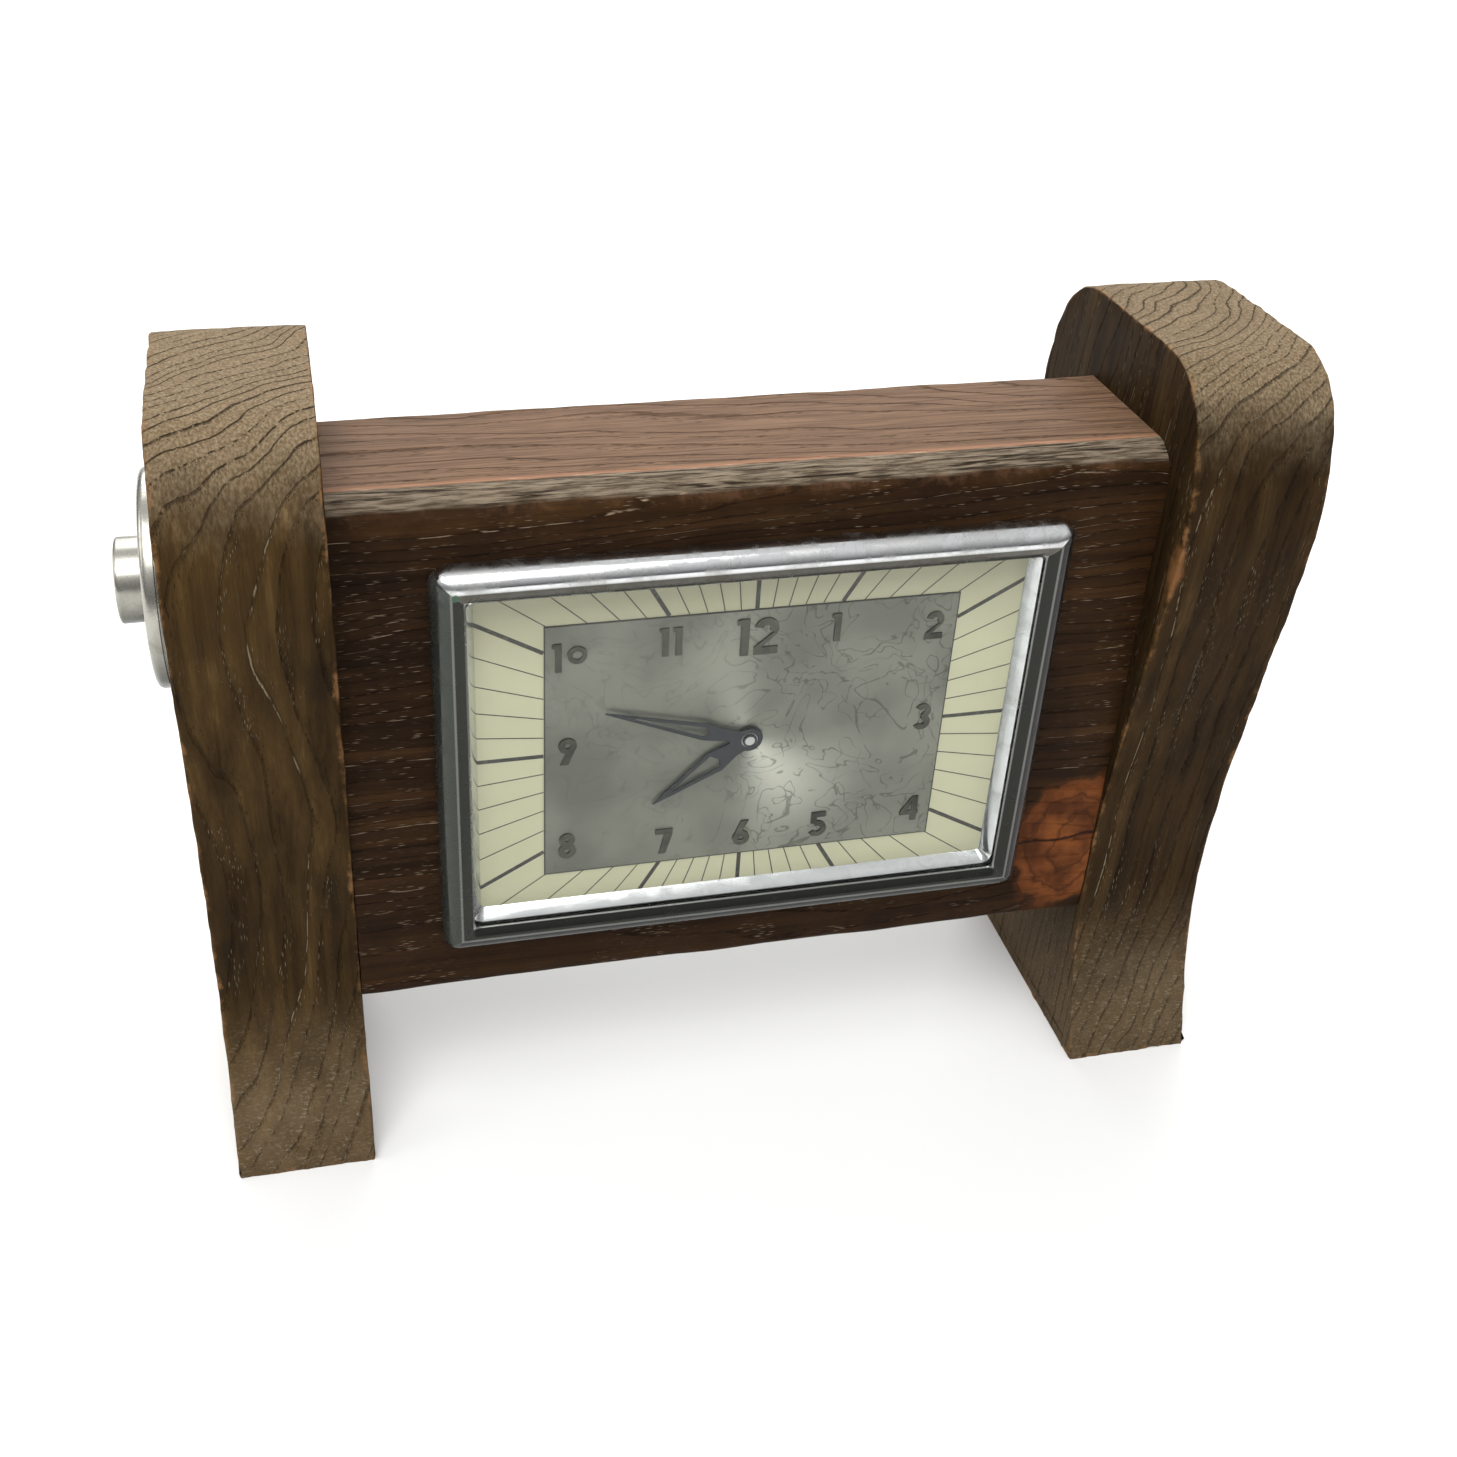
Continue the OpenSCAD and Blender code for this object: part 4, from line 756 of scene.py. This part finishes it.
def bodyPiece():
    size = [(b - a) * mm for a, b in zip(bodyLow, bodyHigh)]
    centre = [(a + b) / 2 * mm for a, b in zip(bodyLow, bodyHigh)]
    deselectAll()
    bpy.ops.mesh.primitive_cube_add(size=1, location=centre)
    piece = bpy.context.active_object
    piece.scale = size
    bpy.ops.object.transform_apply(location=True, rotation=True, scale=True)
    front, top = bodyLow[1] * mm, bodyHigh[2] * mm

    def onCrest(edge):
        end = edge.verts[0].co
        return runsAlong(edge, 0, 0.1) and end.y < front + 1e-5 and end.z > top - 1e-5

    editStart()
    pick("EDGE", onCrest)
    bpy.ops.mesh.bevel(offset=bodyShape["frontRound"] * mm, segments=12, profile=0.5)
    pick("EDGE", lambda e: runsAlong(e, 0, 0.1) and e.calc_face_angle(0) > 1)
    bpy.ops.mesh.bevel(offset=bodyShape["softRound"] * mm, segments=4, profile=0.5)
    pick("EDGE", lambda e: runsAlong(e, 2, 0.1))
    bpy.ops.mesh.subdivide(number_cuts=bodyShape["heightCuts"])
    pick("EDGE", lambda e: runsAlong(e, 1, 0.04))
    bpy.ops.mesh.subdivide(number_cuts=bodyShape["depthCuts"])
    pick("EDGE", lambda e: runsAlong(e, 0, 0.1))
    bpy.ops.mesh.subdivide(number_cuts=bodyShape["lengthCuts"])
    editEnd()

    def toEdge(p):
        gaps = sorted([p.y - bodyLow[1], bodyHigh[1] - p.y, p.z - bodyLow[2], bodyHigh[2] - p.z])
        crestReach = bodyShape["crestReach"]
        inFront = math.hypot(max(0, p.y - bodyLow[1] - crestReach), max(0, bodyHigh[2] - crestReach - p.z))
        return min(gaps[1] * 1.5, inFront) if p.y < 0 else gaps[1] * 1.5

    wearAttribute(piece, toEdge, bodyShape["wearReach"])
    reliefAlong(piece, (0.06, 0.006, 0.006), bodyShape["relief"] * mm)
    reliefAlong(piece, (0.02, 0.0035, 0.0035), bodyShape["edgeRelief"] * mm, "wear", 0.7)
    cutters = []
    pocketDeep = bodyShape["pocketDeep"]
    dialLow, dialHigh = spanOf("dial_plate")
    room = bodyShape["pocketRoom"]
    pocketSize = (dialHigh[0] - dialLow[0] + room, dialHigh[2] - dialLow[2] + room)
    pocketMiddle = (insertX * mm, (bodyLow[1] + pocketDeep / 2 - 1) * mm, insertZ * mm)
    deselectAll()
    bpy.ops.mesh.primitive_cube_add(size=1, location=pocketMiddle)
    cutters.append(bpy.context.active_object)
    cutters[-1].scale = (pocketSize[0] * mm, (pocketDeep + 2) * mm, pocketSize[1] * mm)
    coverBack = spanOf("cover_screws")[1][1] - bodyShape["screwHead"]
    roundCuts = ((bodyShape["bore"], bodyLow[1], coverBack),
                 (bodyShape["recess"], coverBack - 1, bodyHigh[1] + 2))
    for radius, fromY, toY in roundCuts:
        deselectAll()
        bpy.ops.mesh.primitive_cylinder_add(
            vertices=bodyShape["roundSides"], radius=radius * mm, depth=(toY - fromY) * mm,
            rotation=(math.pi / 2, 0, 0), location=(insertX * mm, (fromY + toY) / 2 * mm, insertZ * mm))
        cutters.append(bpy.context.active_object)
    for cutter in cutters:
        applied(piece, "BOOLEAN", operation="DIFFERENCE", solver="EXACT", object=cutter)
    for cutter in cutters:
        bpy.data.objects.remove(cutter)
    finishPiece(piece, "clockBody", "case", finishes["body_wood"], ["body_block"], 40)


bodyPiece()


# A rounded rectangular ring of points at a depth y, facing the dial
def ringAt(width, height, radius, y):
    deselectAll()
    bpy.ops.mesh.primitive_plane_add(size=1, rotation=(math.pi / 2, 0, 0),
                                     location=(insertX * mm, y * mm, insertZ * mm))
    ring = bpy.context.active_object
    ring.scale = (width * mm, height * mm, 1)
    bpy.ops.object.transform_apply(location=True, rotation=True, scale=True)
    editStart()
    bpy.ops.mesh.select_all(action="SELECT")
    bpy.ops.mesh.bevel(affect="VERTICES", offset=radius * mm, segments=10, profile=0.5)
    bpy.ops.mesh.select_all(action="SELECT")
    bpy.ops.mesh.delete(type="ONLY_FACE")
    editEnd()
    return ring


# The middle of a ring's corner rounding, moved to a depth y
def cornerMiddle(ring, y, sideX, sideZ):
    width, height, radius = ring[:3]
    return Vector(((insertX + sideX * (width / 2 - radius)) * mm, y * mm,
                   (insertZ + sideZ * (height / 2 - radius)) * mm))


# Draws the first ring out through all the others and back to the start, corner by corner
def ringLoft(rings):
    piece = ringAt(*rings[0])
    editStart()
    bpy.ops.mesh.select_all(action="SELECT")
    for before, after in zip(rings, rings[1:] + rings[:1]):
        bpy.ops.mesh.select_mode(type="EDGE")
        rise = (after[3] - before[3]) * mm
        bpy.ops.mesh.extrude_edges_move(TRANSFORM_OT_translate={"value": (0, rise, 0)})
        work = bmesh.from_edit_mesh(piece.data)
        work.verts.index_update()
        fresh = {v.index for v in work.verts if v.select}
        for sideX, sideZ in ((1, 1), (1, -1), (-1, -1), (-1, 1)):
            pick("VERT", lambda v: v.index in fresh and (v.co.x / mm - insertX) * sideX > 0
                 and (v.co.z / mm - insertZ) * sideZ > 0)
            old = cornerMiddle(before, after[3], sideX, sideZ)
            new = cornerMiddle(after, after[3], sideX, sideZ)
            swell = after[2] / before[2]
            bpy.ops.transform.resize(value=(swell, 1, swell), center_override=old)
            bpy.ops.transform.translate(value=new - old)
        pick("VERT", lambda v: v.index in fresh)
    bpy.ops.mesh.select_all(action="SELECT")
    bpy.ops.mesh.remove_doubles(threshold=0.001 * mm)
    bpy.ops.mesh.normals_make_consistent(inside=False)
    editEnd()
    return piece


print("bezel and dial")
bezelShape = {"rise": 6.2, "footRise": 0.7, "ridgeIn": 4.5, "ridgeEase": 0.06, "lipIn": 7.7, "lipDrop": 1.2,
              "cornerRound": 5.0, "ridgeRound": 3.2, "lipRound": 1.8, "pinch": 1.7, "grooveWide": 1.5,
              "grooveRound": 0.3, "skirtWall": 1.2, "skirtDeep": 8, "steps": 12, "lipSteps": 6}


def bezelRings():
    width, tall = insertHigh[0] - insertLow[0], insertHigh[2] - insertLow[2]
    front = bodyLow[1]
    b = bezelShape
    foot = b["footRise"]
    path = [(0.0, 0.0, b["cornerRound"]), (0.05, foot, b["cornerRound"])]
    for i in range(1, b["steps"]):
        turn = math.pi / 2 * i / b["steps"]
        share = i / b["steps"]
        pinch = b["pinch"] * math.sin(math.pi * share)  # sharpens the corner into a soft mitre
        path.append((b["ridgeIn"] * (1 - math.cos(turn)) + 0.05, foot + (b["rise"] - foot) * math.sin(turn),
                     b["cornerRound"] + (b["ridgeRound"] - b["cornerRound"]) * share - pinch))
    path.append((b["ridgeIn"] - 0.1, b["rise"], b["ridgeRound"]))
    path.append((b["ridgeIn"] + 0.25, b["rise"] - b["ridgeEase"], b["ridgeRound"] - 0.2))
    for i in range(1, b["lipSteps"] + 1):
        share = i / b["lipSteps"]
        path.append((b["ridgeIn"] + 0.25 + (b["lipIn"] - b["ridgeIn"] - 0.5) * share,
                     b["rise"] - b["ridgeEase"] - (b["lipDrop"] + 0.1) * share ** 1.4,
                     b["ridgeRound"] - 0.2 + (b["lipRound"] - b["ridgeRound"] + 0.2) * share))
    lipHeight = b["rise"] - b["lipDrop"]
    glassRise = bodyLow[1] - spanOf("glass")[0][1]
    path.append((b["lipIn"] - 0.12, lipHeight + 0.02, b["lipRound"]))
    path.append((b["lipIn"], lipHeight - 0.12, b["lipRound"]))
    path.append((b["lipIn"], glassRise, b["lipRound"]))
    groove = b["lipIn"] - b["grooveWide"]
    skirt = groove - b["skirtWall"]
    deep = b["skirtDeep"]
    for inset, rise in ((groove, glassRise), (groove, -deep), (skirt, -deep), (skirt, 0.0)):
        path.append((inset, rise, b["grooveRound"]))
    return [(width - 2 * d, tall - 2 * d, max(r, 0.2), front - h) for d, h, r in path]


def bezelFinish():
    m, colour, rough, height = metalFinish("agedShadedChrome", metalLooks["bezel_chrome"])
    fromLeft, fromTop = m.x - insertLow[0], insertHigh[2] - m.z
    fromRight, fromBottom = insertHigh[0] - m.x, m.z - insertLow[2]
    fromSide = m.maths("MINIMUM", fromLeft, fromRight)
    fromLevel = m.maths("MINIMUM", fromTop, fromBottom)
    inward = m.maths("MINIMUM", fromSide, fromLevel)
    innerBand = inward.above(4.5, 4.9)
    blotch = m.noise(m.place, (0.16, 0.16, 0.16), 5, 0.66, 0.5)
    spots = m.cells(m.place, (0.85, 0.85, 0.85)).below(0.08, 0.2) * blotch.above(0.45, 0.55)
    onLevel = (fromLevel - fromSide).below(-0.15, 0.15)  # top and bottom rails
    onLeft = (1 - onLevel) * fromLeft.below(10, 11)
    onRight = (1 - onLevel) * fromRight.below(10, 11)
    onTop = onLevel * fromTop.below(10, 11)
    onBottom = onLevel * fromBottom.below(10, 11)
    dull = blotch.above(0.44, 0.6) * (onLeft * 0.75 + onTop * 0.5 + 0.2).clipped()
    colour = m.mix(dull * 0.6, colour, (0.36, 0.36, 0.345))
    colour = m.mix(spots * (onLeft * 0.8 + onTop * 0.25).clipped(), colour, (0.05, 0.045, 0.035))
    # painted shade: the left, bottom and right rails are painted near-black, standing in for dark
    # reflections
    leftShade = onLeft * (0.92 + fromTop.above(3, 16) * 0.3 + (blotch - 0.5) * 0.35).clipped()
    colour = m.mix(leftShade * 0.99, colour, (0.05, 0.054, 0.046))
    colour = m.mix(onBottom * 0.96, colour, (0.022, 0.024, 0.021))
    colour = m.mix(onRight * 0.97, colour, (0.014, 0.011, 0.010))
    # painted shade: the inner slope is painted dark as a dark reflection, browner under the top rail
    colour = m.mix(innerBand * onTop * 0.9, colour, (0.06, 0.053, 0.036))
    colour = m.mix(innerBand * (1 - onTop) * 0.85, colour, (0.028, 0.029, 0.024))
    # painted highlights along the ridge and the inner lip
    ridge = m.maths("ABSOLUTE", inward - (bezelShape["ridgeIn"] + 0.05)).below(0.15, 0.4)
    lip = m.maths("ABSOLUTE", inward - (bezelShape["lipIn"] - 0.1)).below(0.15, 0.35)
    colour = m.mix((ridge * 0.3 + lip * 0.6).clipped(), colour, (0.42, 0.43, 0.41))
    cornerX, cornerZ = fromLeft - 5.4, fromTop - 5.4
    corner = m.maths("SQRT", cornerX * cornerX + cornerZ * cornerZ)
    green = (corner + (blotch - 0.5) * 2.0).below(0.7, 1.1)
    colour = m.mix(green * 0.8, colour, (0.09, 0.16, 0.11))
    rough = (rough + dull * 0.18 + green * 0.4).clipped()
    plating = 1 - (leftShade * 0.4 + (onBottom + onRight) * 0.4).clipped()  # the rails painted dark as shade are also made less metallic, so they mirror less
    return m.output(m.surface(baseColor=colour, metallic=plating, roughness=rough, shine=0.25,
                              normal=m.bump(height + blotch * 0.05 - spots * 0.2, 0.03)))


finishPiece(ringLoft(bezelRings()), "bezelRim", "case", bezelFinish(), ["bezel"], 50)

sightShape = {"slopeIn": 2.2, "rebate": 3.0, "frontRound": 2.6, "middleRound": 1.7, "backRound": 0.9,
              "outerRound": 0.3, "gap": 0.02}
glassLow, glassHigh = spanOf("glass")
paneWidth, paneHeight = glassHigh[0] - glassLow[0], glassHigh[2] - glassLow[2]
openingWidth = paneWidth - sightShape["rebate"]
openingHeight = paneHeight - sightShape["rebate"]
sightFront, sightBack = glassHigh[1] + sightShape["gap"], bodyLow[1] - sightShape["gap"]
sightRings = [
    (paneWidth, paneHeight, sightShape["outerRound"], sightFront),
    (openingWidth + 0.5, openingHeight + 0.5, sightShape["frontRound"], sightFront),
    (openingWidth, openingHeight, sightShape["frontRound"], sightFront + 0.15),
    (openingWidth - 2.1, openingHeight - 2.1, sightShape["middleRound"], sightFront + 1.5),
    (openingWidth - 4.3, openingHeight - 4.3, sightShape["backRound"], sightBack - 0.1),
    (openingWidth - 4.4, openingHeight - 4.4, sightShape["backRound"], sightBack),
    (paneWidth, paneHeight, sightShape["outerRound"], sightBack),
]
finishPiece(ringLoft(sightRings), "sightRing", "case", finishes["bezel_chrome"],
            ["sight_ring"], 50)


# The glass: a flat pane with a ground edge
def glassPane():
    size = [(b - a) * mm for a, b in zip(glassLow, glassHigh)]
    deselectAll()
    bpy.ops.mesh.primitive_cube_add(size=1, location=[(a + b) / 2 * mm for a, b in zip(glassLow, glassHigh)])
    pane = bpy.context.active_object
    pane.scale = size
    bpy.ops.object.transform_apply(location=True, rotation=True, scale=True)
    editStart()
    bpy.ops.mesh.select_all(action="SELECT")
    bpy.ops.mesh.bevel(offset=0.25 * mm, segments=2, profile=0.5)
    editEnd()
    finishPiece(pane, "glassPane", "case", finishes["glass"], ["glass"], 20)


glassPane()


# Printed dial marks: thin raised ink, from the centre plate's edge to the dial's visible edge
def rayLeaves(turn, halfWidth, halfHeight):
    across, up = max(abs(math.cos(turn)), 1e-9), max(abs(math.sin(turn)), 1e-9)
    return min(halfWidth / across, halfHeight / up)


markShape = {"minuteWidth": 0.26, "hourWidth": 1.05, "ink": 0.04}


def dialMarks(name, width, turns):
    plateLow, plateHigh = spanOf("dial_centre")
    halfPlate = ((plateHigh[0] - plateLow[0]) / 2, (plateHigh[2] - plateLow[2]) / 2)
    halfDial = (openingWidth / 2 - sightShape["slopeIn"], openingHeight / 2 - sightShape["slopeIn"])
    marks = []
    for turn in turns:
        start = rayLeaves(turn, *halfPlate) + 0.1
        end = rayLeaves(turn, *halfDial) + 0.3
        reach = (start + end) / 2
        deselectAll()
        bpy.ops.mesh.primitive_cube_add(size=1, rotation=(0, -turn, 0), location=(
            (insertX + reach * math.cos(turn)) * mm, (bodyLow[1] - markShape["ink"] / 2) * mm,
            (insertZ + reach * math.sin(turn)) * mm))
        mark = bpy.context.active_object
        mark.scale = ((end - start) * mm, markShape["ink"] * mm, width * mm)
        bpy.ops.object.transform_apply(location=True, rotation=True, scale=True)
        marks.append(mark)
    deselectAll()
    for mark in marks:
        mark.select_set(True)
    bpy.context.view_layer.objects.active = marks[0]
    bpy.ops.object.join()
    finishPiece(bpy.context.active_object, name, "case", printInk, (), 30)


minuteTurns = [math.radians(6 * i) for i in range(60) if i % 5]
hourTurns = [math.radians(30 * i) for i in range(12)]
dialMarks("minuteMarks", markShape["minuteWidth"], minuteTurns)
dialMarks("hourMarks", markShape["hourWidth"], hourTurns)
